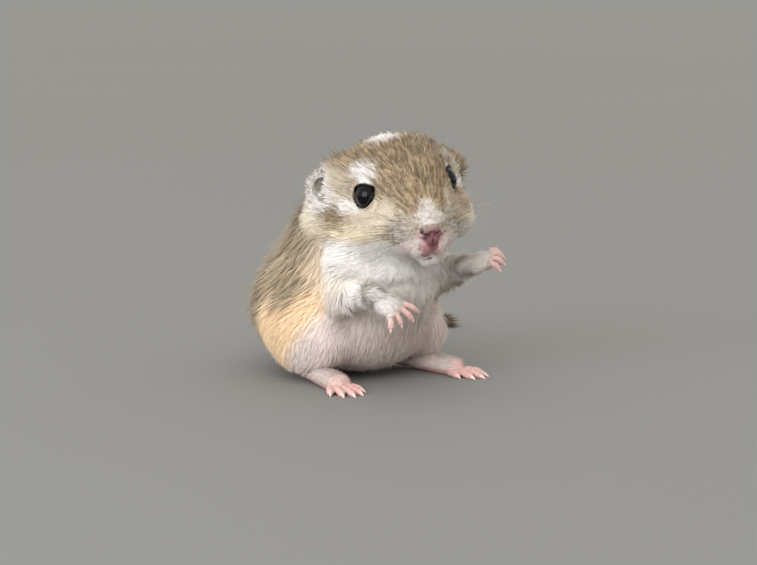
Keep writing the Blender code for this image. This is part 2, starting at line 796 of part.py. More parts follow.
def paint(obj):
    kind = obj.name.split("_")[0]
    material = bpy.data.materials.new(kind)
    material.use_nodes = True
    shader = material.node_tree.nodes["Principled BSDF"]
    value = COLOURS[kind]
    colour = [int(value[i : i + 2], 16) / 255 for i in (0, 2, 4)]
    linear = [c / 12.92 if c <= 0.04045 else ((c + 0.055) / 1.055) ** 2.4 for c in colour]
    shader.inputs["Base Color"].default_value = (*linear, 1)
    shader.inputs["Roughness"].default_value = 0.08 if kind == "eye" else 0.85
    shader.inputs["Metallic"].default_value = 0.0
    obj.data.materials.clear()
    obj.data.materials.append(material)


# Points this near the floor are set on it.
FLOOR_REACH = 0.06
SHARP_ANGLE = math.radians(50)
MERGES = (0.0, 0.0005, 0.002, 0.005, 0.01)
# The most triangles that each kind of node keeps.
BUDGETS = {
    "torso": 2300,
    "head": 3300,
    "neck": 640,
    "foreleg": 560,
    "hindleg": 560,
    "forepaw": 760,
    "hindfoot": 640,
    "nose": 420,
    "tail": 1100,
}


def triangles_of(obj):
    """The object's mesh as triangles, with points closer than the first clean merge joined."""
    mesh = bmesh.new()
    for merge in MERGES:
        for method in ("BEAUTY", "EAR_CLIP"):
            mesh.clear()
            mesh.from_mesh(obj.data)
            bmesh.ops.remove_doubles(mesh, verts=mesh.verts, dist=merge)
            bmesh.ops.dissolve_degenerate(mesh, edges=mesh.edges, dist=merge)
            bmesh.ops.triangulate(mesh, faces=mesh.faces, ngon_method=method)
            if all(len(edge.link_faces) == 2 for edge in mesh.edges):
                return mesh
    return mesh


def settle(obj):
    """Leaves triangles only, no more than the node's budget."""
    mesh = triangles_of(obj)
    count = len(mesh.faces)
    mesh.to_mesh(obj.data)
    mesh.free()
    budget = BUDGETS.get(obj.name.split("_")[0], count)
    if count > budget:
        fewer = obj.modifiers.new("fewer", "DECIMATE")
        fewer.ratio = budget / count
        applied(obj)
        keep_largest(obj)
    for vertex in obj.data.vertices:
        if vertex.co.z < FLOOR_REACH:
            vertex.co.z = 0.0


def main():
    clear_scene()
    parts = part_flesh(make_flesh())
    fit_limbs(parts)
    fit_head(parts["head"])
    make_nose()
    for name in SIDES:
        make_eye(name)
        make_ear(name)
        make_forepaw(name)
        make_hindfoot(name)
    make_tail()
    for obj in list(bpy.data.objects):
        settle(obj)
        obj.data.transform(Matrix.Scale(TO_METRES, 4) @ Matrix.Translation(-SEAT))
        obj.data.shade_smooth()
        obj.data.set_sharp_from_angle(angle=SHARP_ANGLE)
        paint(obj)


main()
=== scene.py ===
"""A gerbil pup about three weeks old, life size, sitting up with its forepaws before its chest.

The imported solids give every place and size. Work is in millimetres, in the solids' frame: the
animal faces -Y, its left is +X, and the floor is at z = 0. Each finished mesh is scaled to metres.
"""

import math

import bmesh
import bpy
import numpy as np
from mathutils import Matrix, Vector, kdtree
from mathutils.bvhtree import BVHTree


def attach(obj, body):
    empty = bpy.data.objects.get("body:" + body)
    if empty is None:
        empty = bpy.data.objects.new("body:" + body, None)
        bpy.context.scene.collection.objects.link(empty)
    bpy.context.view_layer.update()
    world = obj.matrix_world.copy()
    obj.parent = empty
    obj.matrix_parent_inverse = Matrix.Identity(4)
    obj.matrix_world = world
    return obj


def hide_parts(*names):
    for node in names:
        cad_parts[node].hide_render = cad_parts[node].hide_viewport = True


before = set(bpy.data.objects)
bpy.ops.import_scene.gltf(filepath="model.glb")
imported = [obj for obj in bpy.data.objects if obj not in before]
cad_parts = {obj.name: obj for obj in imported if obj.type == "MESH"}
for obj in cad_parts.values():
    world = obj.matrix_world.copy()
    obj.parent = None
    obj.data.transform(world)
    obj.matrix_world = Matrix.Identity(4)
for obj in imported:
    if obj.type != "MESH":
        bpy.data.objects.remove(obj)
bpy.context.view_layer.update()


# Ears. Each is a small thick cup of gristle and skin, open forwards on the near side, while the
# far one is laid back against the head. They grow out of the head and share its skin.
SIDES = {"right": -1, "left": 1}
HEAD = (
    Matrix.Translation((-1.0, -23.3, 32.3))
    @ Matrix.Rotation(math.radians(-22), 4, "Z")
    @ Matrix.Rotation(math.radians(4), 4, "X")
    @ Matrix.Rotation(math.radians(-10), 4, "Y")
)
EARS = {
    "right": ((-11.3, 10.0, -0.1), (-0.62, -0.74, 0.10)),
    "left": ((9.9, 10.4, 0.0), (0.92, -0.34, 0.18)),
}
EAR_RADII = (2.65, 2.85)
EAR_DEPTH = 2.5
EAR_WALL = 0.9
EAR_FRONT_LOWER = 2.8


def looking_frame(place, look):
    """A frame of the head's whose +Z is the looking direction and whose +Y is up."""
    look = Vector(look).normalized()
    across = Vector((0, 0, 1)).cross(look).normalized()
    turn = Matrix((across, look.cross(across), look)).transposed().to_4x4()
    return HEAD @ Matrix.Translation(Vector(place)) @ turn


def add_rings(mesh, rings, first=None, last=None, closed=False):
    """A closed skin over rings of equal count, each end drawn to a point or joined up."""
    rows = [[mesh.verts.new(p) for p in ring] for ring in rings]
    count = len(rows[0])
    faces = []
    for row, after in zip(rows, rows[1:] + rows[:1] if closed else rows[1:]):
        for i in range(count):
            j = (i + 1) % count
            faces.append(mesh.faces.new((row[i], row[j], after[j], after[i])))
    for row, tip in () if closed else ((rows[0][::-1], first), (rows[-1], last)):
        middle = sum((v.co for v in row), Vector()) / count
        peak = mesh.verts.new(middle if tip is None else tip)
        for i, vert in enumerate(row):
            faces.append(mesh.faces.new((vert, row[(i + 1) % count], peak)))
    bmesh.ops.recalc_face_normals(mesh, faces=faces)


def add_ear(mesh, name):
    place, look = EARS[name]
    cup = looking_frame(place, look)

    def ring(angle, thinner):
        turn = math.radians(angle)
        points = []
        for k in range(40):
            way = math.tau * k / 40
            taller = 1 + 0.16 * math.sin(way) + 0.10 * math.cos(way) * SIDES[name]
            wide = math.sin(turn) * taller
            deep = math.cos(turn) * (2 - taller)
            x = (EAR_RADII[0] - thinner) * wide * math.cos(way)
            y = (EAR_RADII[1] - thinner) * wide * math.sin(way)
            lower = EAR_FRONT_LOWER * max(0.0, -math.cos(way) * SIDES[name]) * math.sin(turn)
            points.append(cup @ Vector((x, y, -(EAR_DEPTH - thinner) * deep - lower)))
        return points

    outer = [ring(angle, 0.0) for angle in range(12, 108, 8)]
    inner = [ring(angle, EAR_WALL) for angle in range(106, 20, -8)]
    bottom = cup @ Vector((0, 0, -EAR_DEPTH))
    add_rings(mesh, [*outer, ring(111, EAR_WALL / 2), *inner], bottom, None)


# Tail. It lies on the floor behind the rump and bends round to the animal's left, with a brush
# of longer hair on its last third. Its flesh is a tapered tube, one with the body's skin.
TAIL_PATH = (
    (0.5, 4.7), (2.0, 11.7), (6.0, 18.7), (13.0, 24.2), (21.0, 27.2), (29.0, 27.2), (42.0, 20.7)
)
TAIL_RADII = (2.45, 0.85)
TAIL_STEPS = 60


def smooth_path(points, count):
    """Points at even steps of a Catmull-Rom curve through the given ones."""
    points = [Vector(p) for p in points]
    ends = [2 * points[0] - points[1], *points, 2 * points[-1] - points[-2]]
    made = []
    for k in range(count):
        place = k / (count - 1) * (len(points) - 1)
        i = min(int(place), len(points) - 2)
        t = place - i
        a, b, c, d = ends[i : i + 4]
        bend = (2 * a - 5 * b + 4 * c - d) * t * t + (3 * b - a - 3 * c + d) * t**3
        made.append(0.5 * (2 * b + (c - a) * t + bend))
    return made


def add_tube(mesh, points, radii, sides=12, flatness=1.0, up=(0, 0, 1)):
    """A tapered tube along points, flatness times as high, along up, as it is wide."""
    rings = []
    for i, point in enumerate(points):
        along = (points[min(i + 1, len(points) - 1)] - points[max(i - 1, 0)]).normalized()
        across = along.cross(Vector(up)).normalized()
        over = across.cross(along) * flatness
        turns = [math.tau * k / sides for k in range(sides)]
        rings.append([point + (across * math.cos(t) + over * math.sin(t)) * radii[i] for t in turns])
    first = points[0] - (points[1] - points[0]).normalized() * radii[0] * 0.6
    last = points[-1] + (points[-1] - points[-2]).normalized() * radii[-1] * 0.6
    add_rings(mesh, rings, first, last)


tail_line, tail_radii = [], []
for i, point in enumerate(smooth_path([(x, y, 0) for x, y in TAIL_PATH], TAIL_STEPS)):
    radius = TAIL_RADII[0] + (TAIL_RADII[1] - TAIL_RADII[0]) * (i / (TAIL_STEPS - 1)) ** 0.7
    tail_radii.append(radius)
    tail_line.append(Vector((point.x, point.y, radius)))


# Skin. One closed hide over head, neck, trunk, legs, ears and tail, thin and pinkish, which
# lies inside the solids by the depth of the coat. It has no seam: the solids' flesh is fused.
FLESH = ("torso", "neck", "head", "nose", "foreleg_right", "foreleg_left",
         "hindleg_right", "hindleg_left")
CLOSE_GAPS = 0.2
SKIN_STEP = 0.3
FORELEGS = {
    "right": ((-8.5, -16.8, 20.5), (-10.5, -17.3, 14.0), (-9.6, -25.7, 15.8)),
    "left": ((8.5, -16.8, 20.5), (11.5, -15.8, 15.0), (11.6, -22.9, 18.6)),
}
HEAD_TURN = np.array(HEAD.to_3x3())


def seen_from(place, points):
    """Points in the terms of a frame, such as the head's or a foot's."""
    return (points - np.array(place.translation)) @ np.array(place.to_3x3())


def to_head(points):
    return seen_from(HEAD, points)


def ramp(values, low, high):
    """0 below low, 1 above high, and a smooth step between them."""
    t = np.clip((values - low) / (high - low), 0, 1)
    return t * t * (3 - 2 * t)


def egg(points, centre, radii, soft=0.35):
    """1 inside an egg and 0 outside it, with a soft edge."""
    reach = np.linalg.norm((points - np.array(centre)) / np.array(radii), axis=1)
    return 1 - ramp(reach, 1 - soft, 1 + soft)


def pair(local, centre, radii, soft=0.35):
    """An egg on each side of the head."""
    both = local.copy()
    both[:, 0] = np.abs(both[:, 0])
    return egg(both, centre, radii, soft)


def drawn(value, *steps):
    """The value, drawn to that of each step in turn by the step's share."""
    for wanted, share in steps:
        value = value + (wanted - value) * share
    return value


def line_distance(points, line):
    """Distance to a line through points, and the share of the line where it is nearest."""
    best = np.full(len(points), 1e9)
    share = np.zeros(len(points))
    for i, (a, b) in enumerate(zip(line, line[1:])):
        a, b = np.array(a), np.array(b)
        t = np.clip((points - a) @ (b - a) / ((b - a) @ (b - a)), 0, 1)
        away = np.linalg.norm(points - a - t[:, None] * (b - a), axis=1)
        nearer = away < best
        best[nearer] = away[nearer]
        share[nearer] = ((i + t) / (len(line) - 1))[nearer]
    return best, share


def head_share(points):
    """1 on the head and 0 on the body, with a soft edge behind the jaw."""
    local = to_head(points)
    ahead = (local - np.array((0, 3.0, -9.8))) @ np.array((0, -0.6225, 0.7826))
    return ramp(ahead, -2.0, 2.0) * egg(local, (0, 2.5, -2.5), (18, 17, 12.5), 0.08)


def arm_share(points):
    """1 on the forearms and 0 on the body."""
    share = np.zeros(len(points))
    for line in FORELEGS.values():
        away, along = line_distance(points, line[1:])
        share = np.maximum(share, (1 - ramp(away, 2.8, 4.0)) * ramp(along, 0.2, 0.6))
    return share


def tail_share(points):
    away, along = line_distance(points, tail_line)
    return (1 - ramp(away, 3.0, 3.8)) * ramp(along, 0.08, 0.16)


def ear_share(points):
    local = to_head(points)
    share = np.zeros(len(points))
    for place, look in EARS.values():
        tip = np.array(place) + np.array(look) * 0.6
        share = np.maximum(share, egg(local, tip, (3.6, 3.6, 3.6), 0.12))
    return share


def add_solid(mesh, name):
    """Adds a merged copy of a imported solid, swollen enough to close the cuts between solids."""
    solid = bmesh.new()
    solid.from_mesh(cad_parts[name].data)
    solid.transform(Matrix.Scale(1000, 4))
    bmesh.ops.remove_doubles(solid, verts=solid.verts, dist=0.0005)
    solid.normal_update()
    for vert in solid.verts:
        vert.co += vert.normal * CLOSE_GAPS
    copied = {v: mesh.verts.new(v.co) for v in solid.verts}
    for face in solid.faces:
        mesh.faces.new([copied[v] for v in face.verts])
    solid.free()


def place_object(name, data):
    obj = bpy.data.objects.new(name, data)
    bpy.context.scene.collection.objects.link(obj)
    return obj


def add_object(name, mesh):
    """An object of a finished bmesh, in the scene."""
    data = bpy.data.meshes.new(name)
    mesh.to_mesh(data)
    mesh.free()
    return place_object(name, data)


def applied(obj):
    """The object with its modifiers made part of its mesh."""
    bpy.context.view_layer.update()
    graph = bpy.context.evaluated_depsgraph_get()
    mesh = bpy.data.meshes.new_from_object(obj.evaluated_get(graph))
    obj.modifiers.clear()
    obj.data = mesh
    return obj


def fused(obj, step):
    """One even closed surface over all of the object's overlapping closed pieces."""
    remesh = obj.modifiers.new("fused", "REMESH")
    remesh.mode = "VOXEL"
    remesh.voxel_size = step
    return applied(obj)


def smoothed(obj, rounds, weights=1.0):
    """Smooths the object, most where the weights are 1."""
    weights = np.broadcast_to(weights, len(obj.data.vertices))
    group = obj.vertex_groups.new(name="weights")
    for level in range(1, 11):
        chosen = np.nonzero(np.round(weights * 10) == level)[0]
        group.add(chosen.tolist(), level / 10, "REPLACE")
    smooth = obj.modifiers.new("smoothed", "SMOOTH")
    smooth.factor = 0.5
    smooth.iterations = rounds
    smooth.vertex_group = group.name
    applied(obj)
    obj.vertex_groups.clear()
    return obj


def rows_of(items, kind, width, dtype=np.float32):
    """One property of all the points, corners or faces of a mesh, in rows."""
    values = np.empty(len(items) * width, dtype)
    items.foreach_get(kind, values)
    return values.reshape(-1, width)


def points_of(mesh, kind="co"):
    """The places of a mesh's points, or their normals."""
    return rows_of(mesh.vertices, kind, 3).astype(float)


def move_points(mesh, points):
    mesh.vertices.foreach_set("co", points.astype(np.float32).ravel())
    mesh.update()


# The middle of the left socket, in the head's frame.
SOCKET = (7.3, 0, 0)


def temple_share(points):
    """1 above and before the near ear, where the coat stands out."""
    return egg(to_head(points), (-10.2, 8.4, 1.9), (4.0, 4.8, 4.0), 0.8) * head_share(points)


def coat_depth(points):
    """How far the skin lies inside the solids' surface."""
    local, head = to_head(points), head_share(points)
    return drawn(
        1.15 - 0.5 * head,
        (0.3, head * (1 - ramp(local[:, 1], -7.5, -1.0))),
        (0.25, pair(local, SOCKET, (3.6, 3.8, 3.4), 0.3)),
        (0.55, egg(local, (0, -10.6, -7.2), (2.2, 2.6, 3.6), 0.3)),
        (0.55, arm_share(points)),
        (1.3, egg(local, (10.0, -0.6, -3.6), (3.2, 5.0, 3.6), 0.35)),
        (0.15, temple_share(points)),
        (0.2, np.maximum(ear_share(points), tail_share(points))),
    )


EYE_RADIUS = 2.5
CORNEA_RADIUS = 2.75
RIM_RADIUS = 0.19
# The opening between the lids, as a loop of (towards the nose, up).
LID_OPENING = (
    (-1.75, 1.5), (-0.7, 1.9), (0.4, 1.95), (1.55, 1.6), (2.0, 1.1), (1.65, 0.2),
    (1.0, -0.85), (-0.2, -1.55), (-1.2, -1.6), (-1.95, -1.0), (-2.2, 0.1),
)


def eye_frame(side):
    """The eye's own frame: +Z looks out through the opening, +Y is up."""
    forward, up = math.radians(38), math.radians(6)
    look = Vector((side * math.cos(forward), -math.sin(forward), math.sin(up))).normalized()
    return looking_frame(Vector((side * 7.5, 0, 0)) - look * EYE_RADIUS * 0.86, look)


def lid_loop(side):
    """The opening as a smooth closed loop in the eye's frame, flat."""
    loop = [Vector((-side * x, y, 0)) for x, y in LID_OPENING]
    closed = smooth_path([loop[-1], *loop, loop[0], loop[1]], (len(loop) + 2) * 8 + 1)
    return closed[8:-16]


def around_lids(points, side):
    """Points in the eye's frame, their turn round its axis, and the opening's reach at each."""
    local = seen_from(eye_frame(side), points)
    rim = np.array(lid_loop(side))
    rim_turn = np.arctan2(rim[:, 1], rim[:, 0])
    order = np.argsort(rim_turn)
    turn = np.arctan2(local[:, 1], local[:, 0])
    rim_reach = np.hypot(rim[:, 0], rim[:, 1])[order]
    return local, turn, np.interp(turn, rim_turn[order], rim_reach, period=math.tau)


def open_lids(points):
    """Draws what blocks an eye out to the rim of its opening, and the skin round it close."""
    for side in SIDES.values():
        local, turn, reach = around_lids(points, side)
        reach = reach + RIM_RADIUS
        found = np.hypot(local[:, 0], local[:, 1])
        outside = (local[:, 2] > 0) & (local[:, 2] < 5)
        blocking = (found < reach) & outside
        wanted = np.where(blocking, reach, found)
        local[:, 0] = np.cos(turn) * wanted
        local[:, 1] = np.sin(turn) * wanted
        over = np.sqrt(np.maximum(0, 1 - (wanted / (EYE_RADIUS + 0.4)) ** 2))
        height = np.maximum(over * (CORNEA_RADIUS + 0.2), 0.6)
        around = (local[:, 2] > height) & outside & (wanted < reach + 1.4)
        share = np.clip((wanted - reach) / 1.4, 0, 1)
        lower = height + (local[:, 2] - height) * share
        local[:, 2] = np.where(blocking, height, np.where(around, lower, local[:, 2]))
        moved = blocking | around
        eye = eye_frame(side)
        points[moved] = local[moved] @ np.array(eye.to_3x3()).T + np.array(eye.translation)
    return points


def lid_share(points, near, far):
    """1 up to near beyond an eye's opening, and 0 from far on."""
    share = np.zeros(len(points))
    for side in SIDES.values():
        seen, _, reach = around_lids(points, side)
        beyond = np.hypot(seen[:, 0], seen[:, 1]) - reach
        round_eye = (seen[:, 2] > 0) & (seen[:, 2] < 4.5)
        share = np.maximum(share, (1 - ramp(beyond, near, far)) * round_eye)
    return share


def unwrapped(obj):
    """Unwraps the object's own shape in a map named OFBake."""
    obj.data.uv_layers.new(name="OFBake")
    bpy.context.view_layer.objects.active = obj
    bpy.ops.object.mode_set(mode="EDIT")
    bpy.ops.mesh.select_all(action="SELECT")
    bpy.ops.uv.smart_project(angle_limit=math.radians(66), island_margin=0.002)
    bpy.ops.object.mode_set(mode="OBJECT")
    return obj


flesh = bmesh.new()
for name in FLESH:
    add_solid(flesh, name)
for name in EARS:
    add_ear(flesh, name)
add_tube(flesh, tail_line, tail_radii, sides=20)
skin = fused(add_object("skin", flesh), SKIN_STEP)

points = points_of(skin.data)
local = to_head(points)
keep = np.maximum(
    pair(local, SOCKET, (3.4, 3.6, 3.2), 0.3),
    egg(local, (0, -10.3, -7.5), (3.0, 3.0, 3.4), 0.4),
)
keep = np.maximum(keep, np.maximum(ear_share(points) * 0.65, tail_share(points) * 0.7))
smoothed(skin, 20, 1 - keep * 0.9)
smoothed(skin, 60, (1 - head_share(points)) * (1 - keep) * (1 - arm_share(points) * 0.7))
points = points_of(skin.data)
points -= points_of(skin.data, "normal") * coat_depth(points)[:, None]
points[:, 2] = np.maximum(points[:, 2], 0.02)
move_points(skin.data, open_lids(points))
unwrapped(skin)


# Markings. The coat is brown agouti above, golden on the flanks and white below, with white
# round the eye, behind the ears, on the bridge of the nose and in a spot on the crown.
def linear(code):
    """An sRGB hex colour as linear numbers."""
    values = np.array([int(code[i : i + 2], 16) / 255 for i in (0, 2, 4)])
    return np.where(values <= 0.04045, values / 12.92, ((values + 0.055) / 1.055) ** 2.4)


CROWN_BROWN = "968267"
BACK_BROWN = "9C8A70"
FLANK_GOLD = "F2D5AE"
CREAM = "D9CBB4"
WHITE = "E2DDD6"
BLUSH_WHITE = "DFD0C8"
CHEEK_BROWN = "8A795F"
YELLOW_CREAM = "EADABA"
SIDE_TAN = "C3B094"
CHEEK_TAN = "C3B59F"
PAD_GREY = "A79C8D"
BRIDGE_WHITE = "C8C0B7"
TAIL_BROWN = "B39A75"
BRUSH_BROWN = "6A5947"
EAR_TAN = "BFA892"
# Painted shade on the far cheek, which lies in shade.
FAR_CHEEK_SHADE = "AC9781"
LID_BROWN = "5A4A3C"
# How much of the ticking a marking takes away, where that isn't nearly all of it.
TICKS_TAKEN = {
    CROWN_BROWN: 0.2, CHEEK_BROWN: 0.3, PAD_GREY: 0.1, BRIDGE_WHITE: 0.5,
    EAR_TAN: 0.5, FAR_CHEEK_SHADE: 0.2, LID_BROWN: 0.2,
}


def markings(points):
    """The coat's colour at points, with painted shade on the far cheek, and how strongly it is ticked
    with dark and light hairs.
    """
    local = to_head(points)
    head = head_share(points)
    back_way = points @ np.array((0, 0.78, 0.62))
    side_x = np.abs(points[:, 0])
    above = ramp(back_way - 0.12 * side_x, 3.4, 6.6) * ramp(points[:, 2], 3.0, 7.5)
    above = np.maximum(above, egg(points, (-12.4, -7.6, 17.0), (3.7, 3.6, 3.4), 0.5))
    near = points * (0, 1, 1) - np.abs(points * (1, 0, 0))
    paler = egg(near, (-13.0, -4.6, 20.5), (5.5, 5.8, 8.2), 0.5) * 0.8
    paler = paler * (1 - egg(near, (-12.4, -7.4, 17.0), (3.2, 3.2, 3.0), 0.6) * 0.8)
    below = 1 - ramp(back_way + 0.05 * side_x, -5.0, -1.6)
    below = np.maximum(below, 1 - ramp(points[:, 2], 0.8, 3.2))
    tail, (_, along) = tail_share(points), line_distance(points, tail_line)
    ticks = np.maximum(above * (0.65 - 0.35 * paler) * (1 - below), tail * 0.3)
    body = np.tile(linear(FLANK_GOLD), (len(points), 1))
    for share, code in (
        (above, BACK_BROWN),
        (above * paler, SIDE_TAN),
        (below, BLUSH_WHITE),
        (egg(points, (0, -20, 21), (14.5, 10, 8), 0.5), WHITE),
        (arm_share(points), WHITE),
        (tail, TAIL_BROWN),
        (tail * ramp(along, 0.6, 0.85), BRUSH_BROWN),
        (tail * (1 - ramp(points[:, 2], 0.8, 2.2)) * (1 - along), CREAM),
    ):
        body = drawn(body, (linear(code), share[:, None]))

    face = np.tile(linear(CROWN_BROWN), (len(points), 1))
    ticked = np.ones(len(points))
    spots = (
        # The throat, cheeks and jaw are white, the lips and chin blush.
        (pair(local, (0, 3.0, -13.2), (19, 19, 7.2), 0.14), WHITE),
        (pair(local, (7.0, 2.0, -8.6), (8.5, 9.5, 2.6), 0.35), WHITE),
        (pair(local, (9.5, -0.5, -5.3), (4.8, 6.4, 1.2), 0.5), YELLOW_CREAM),
        (pair(local, (15.0, 8.4, -5.0), (3.2, 4.6, 4.2), 0.4), CREAM),
        # White over the eye and behind it to the ear, cream in front of it and below.
        (egg(local, (-6.8, 0.0, 3.1), (2.5, 2.8, 1.6), 0.6), WHITE),
        (egg(local, (7.6, 1.4, 3.0), (1.7, 2.2, 1.5), 0.5) * 0.4, WHITE),
        (pair(local, (10.0, 5.2, 1.3), (2.6, 4.4, 2.6), 0.45), CHEEK_TAN),
        (pair(local, (11.2, 9.0, -0.4), (3.4, 4.4, 3.8), 0.3), WHITE),
        (pair(local, (6.2, -4.6, -2.6), (2.7, 4.6, 2.4), 0.4), CREAM),
        (pair(local, (8.2, -1.6, -3.0), (2.6, 3.8, 1.3), 0.5), CHEEK_TAN),
        (pair(local, (9.4, 1.8, -1.6), (2.2, 2.4, 1.0), 0.5), WHITE),
        # Painted shade: the far side, which lies in shade, is browner before and under its eye. A dark
        # streak lies under its lid, on that side only.
        (egg(local, (8.0, -2.6, -2.8), (3.4, 4.6, 3.0), 0.4) * 0.85, FAR_CHEEK_SHADE),
        (egg(local, (8.4, -2.6, -3.3), (1.0, 1.3, 1.5), 0.4), LID_BROWN),
        # A brown streak runs back over the cheek, with a faint one under it.
        (pair(local, (11.5, 3.5, -3.3), (2.8, 4.4, 0.75), 0.5), CHEEK_BROWN),
        (pair(local, (11.2, 2.2, -4.9), (2.6, 4.6, 0.4), 0.6) * 0.8, CHEEK_BROWN),
        (pair(local, (14.4, 8.0, -6.4), (3.0, 3.8, 0.7), 0.6) * 0.5, CHEEK_BROWN),
        # Grey whisker pads, white lips, and a white patch on the bridge of the nose.
        (pair(local, (3.8, -8.0, -4.8), (2.8, 3.0, 2.2), 0.45), PAD_GREY),
        (pair(local, (2.4, -9.6, -8.0), (2.6, 2.8, 2.0), 0.4), BLUSH_WHITE),
        (egg(local, (0.2, -9.6, -3.3), (2.2, 2.0, 1.4), 0.35), BRIDGE_WHITE),
        (egg(local, (0.4, -8.4, -2.0), (1.1, 1.6, 1.2), 0.5), BRIDGE_WHITE),
        # One white spot on top of the head.
        (egg(local, (-0.9, 6.0, 7.4), (2.4, 2.6, 2.2), 0.6), WHITE),
        # The hollow of each ear is tan, and its back brown.
        (pair(local, (11.0, 9.3, -0.2), (1.7, 1.9, 2.0), 0.3), EAR_TAN),
        (egg(local, EARS["left"][0], (4.2, 4.2, 4.2), 0.2), CROWN_BROWN),
        (egg(local, (-9.2, 12.2, -0.4), (2.8, 2.4, 3.2), 0.4), CROWN_BROWN),
    )
    for share, code in spots:
        face = drawn(face, (linear(code), share[:, None]))
        ticked *= 1 - share * TICKS_TAKEN.get(code, 0.85)
    return drawn(body, (face, head[:, None])), drawn(ticks, (ticked, head))


def paint(obj, colours):
    """Keeps a colour for each point of the mesh."""
    layer = obj.data.attributes.new("markings", "FLOAT_COLOR", "POINT")
    values = np.ones((len(colours), 4), np.float32)
    values[:, :3] = colours
    layer.data.foreach_set("color", values.ravel())


def add_node(tree, kind, inputs=None, **properties):
    """Adds a node with its properties, and sets each input to a value or links it."""
    node = tree.nodes.new(kind)
    for name, value in properties.items():
        setattr(node, name, value)
    for name, value in (inputs or {}).items():
        if isinstance(value, bpy.types.NodeSocket):
            tree.links.new(value, node.inputs[name])
        else:
            node.inputs[name].default_value = value
    return node


def new_finish(name, pattern=None, apart=1.0, shades=(), relief=(), **numbers):
    """A material in the markings' colours, or in two shades that its pattern mixes.

    The pattern is "Noise" or "Voronoi", its marks so many millimetres apart, and the relief is
    the strength and height of its bumps. The numbers go on the shader's own sockets.
    """
    material = bpy.data.materials.new(name)
    material.use_nodes = True
    tree, shader = material.node_tree, material.node_tree.nodes["Principled BSDF"]
    for socket, value in numbers.items():
        shader.inputs[socket.replace("_", " ")].default_value = value
    if pattern:
        place = add_node(tree, "ShaderNodeTexCoord").outputs["Object"]
        grain = add_node(tree, f"ShaderNodeTex{pattern}", {"Vector": place, "Scale": 1000 / apart})
    if shades:
        tint = add_node(tree, "ShaderNodeValToRGB", {"Fac": grain.outputs[0]})
        for stop, shade in zip(tint.color_ramp.elements, shades):
            stop.color = (*linear(shade), 1)
    else:
        tint = add_node(tree, "ShaderNodeAttribute", attribute_name="markings")
    tree.links.new(tint.outputs["Color"], shader.inputs["Base Color"])
    if relief:
        strength, height = relief
        raised = {"Height": grain.outputs[0], "Strength": strength, "Distance": height / 1000}
        bump = add_node(tree, "ShaderNodeBump", raised)
        tree.links.new(bump.outputs["Normal"], shader.inputs["Normal"])
    return material


SKIN_PINK = "E3B4A8"
PINK_SHARE = 0.12
LID_DARK = "120E0D"
points = points_of(skin.data)
colours = drawn(markings(points)[0], (linear(SKIN_PINK), PINK_SHARE))
lids = lid_share(points, 0.15, 0.45)[:, None]
paint(skin, drawn(colours, (linear(LID_DARK), lids)))

# Hide under fur: soft and dull, with the fine ridges that the roots of the hairs leave. They
# are drawn 0.25 mm apart, about twice as coarse as real ones, so that they show.
hide = new_finish(
    "hide_under_fur", "Noise", 0.25, relief=(0.4, 0.1), Roughness=0.75, Specular_IOR_Level=0.25
)


def finish_piece(obj, material, slot, *nodes):
    """Scales a finished piece to metres and fixes it to the body."""
    obj.data.transform(Matrix.Scale(0.001, 4))
    obj.data.materials.clear()
    obj.data.materials.append(material)
    obj.data.shade_smooth()
    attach(obj, "root")
    if nodes:
        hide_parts(*nodes)


# Eyes. Wet black beads, with a clear cornea that stands a little proud of the ball, held in the
# sockets by the lids. A thin bare dark rim lines the lids.

# Wet eye: nearly black and smooth under its tears, so it shows one small sharp highlight.
eyeball = new_finish(
    "wet_eyeball", "Noise", 1.67, ("030303", "0B0908"),
    Roughness=0.05, IOR=1.34, Specular_IOR_Level=0.4,
)
# Bare lid skin: dark and damp, with a broken gloss that sets the eye off from the coat.
lid_skin = new_finish(
    "bare_lid_rim", "Noise", 0.33, ("080707", "171211"), Roughness=0.45, Specular_IOR_Level=0.25
)


def on_eye(x, y, extra=0.0):
    """A point over the eye's surface, in the eye's frame."""
    reach = min(math.hypot(x, y) / EYE_RADIUS, 0.99)
    return Vector((x, y, (CORNEA_RADIUS + extra) * math.sqrt(1 - reach * reach)))


for name, side in SIDES.items():
    eye = eye_frame(side)
    ball = bmesh.new()
    bmesh.ops.create_uvsphere(ball, u_segments=64, v_segments=40, radius=1.0)
    ball.transform(eye @ Matrix.Diagonal((EYE_RADIUS, EYE_RADIUS, CORNEA_RADIUS, 1)))
    finish_piece(add_object(f"eyeball_{name}", ball), eyeball, "eye_gloss", f"eye_{name}")
    rim = bmesh.new()
    loop = [eye @ on_eye(p.x, p.y, 0.06) for p in lid_loop(side)]
    rings = []
    for i, point in enumerate(loop):
        along = (loop[(i + 1) % len(loop)] - loop[i - 1]).normalized()
        out = (point - eye.translation).normalized()
        across = along.cross(out).normalized()
        turns = [math.tau * k / 8 for k in range(8)]
        rings.append([point + (out * math.cos(t) + across * math.sin(t)) * RIM_RADIUS for t in turns])
    add_rings(rim, rings, closed=True)
    finish_piece(add_object(f"lid_rim_{name}", rim), lid_skin, "eye_gloss")


# Nose and lips. Bare pink skin: a rounded band over two wings with a slit in each, and below it
# the cleft of the upper lip, which runs down into the line of the mouth.
SNOUT_STEP = 0.1
SNOUT = HEAD @ Matrix.Translation((-0.2, 0, 0))
NOSE_PINK = "957371"
ROSE = "83525A"
LIP_PINK = "BB9A95"
LIP_ROSE = "996F6D"
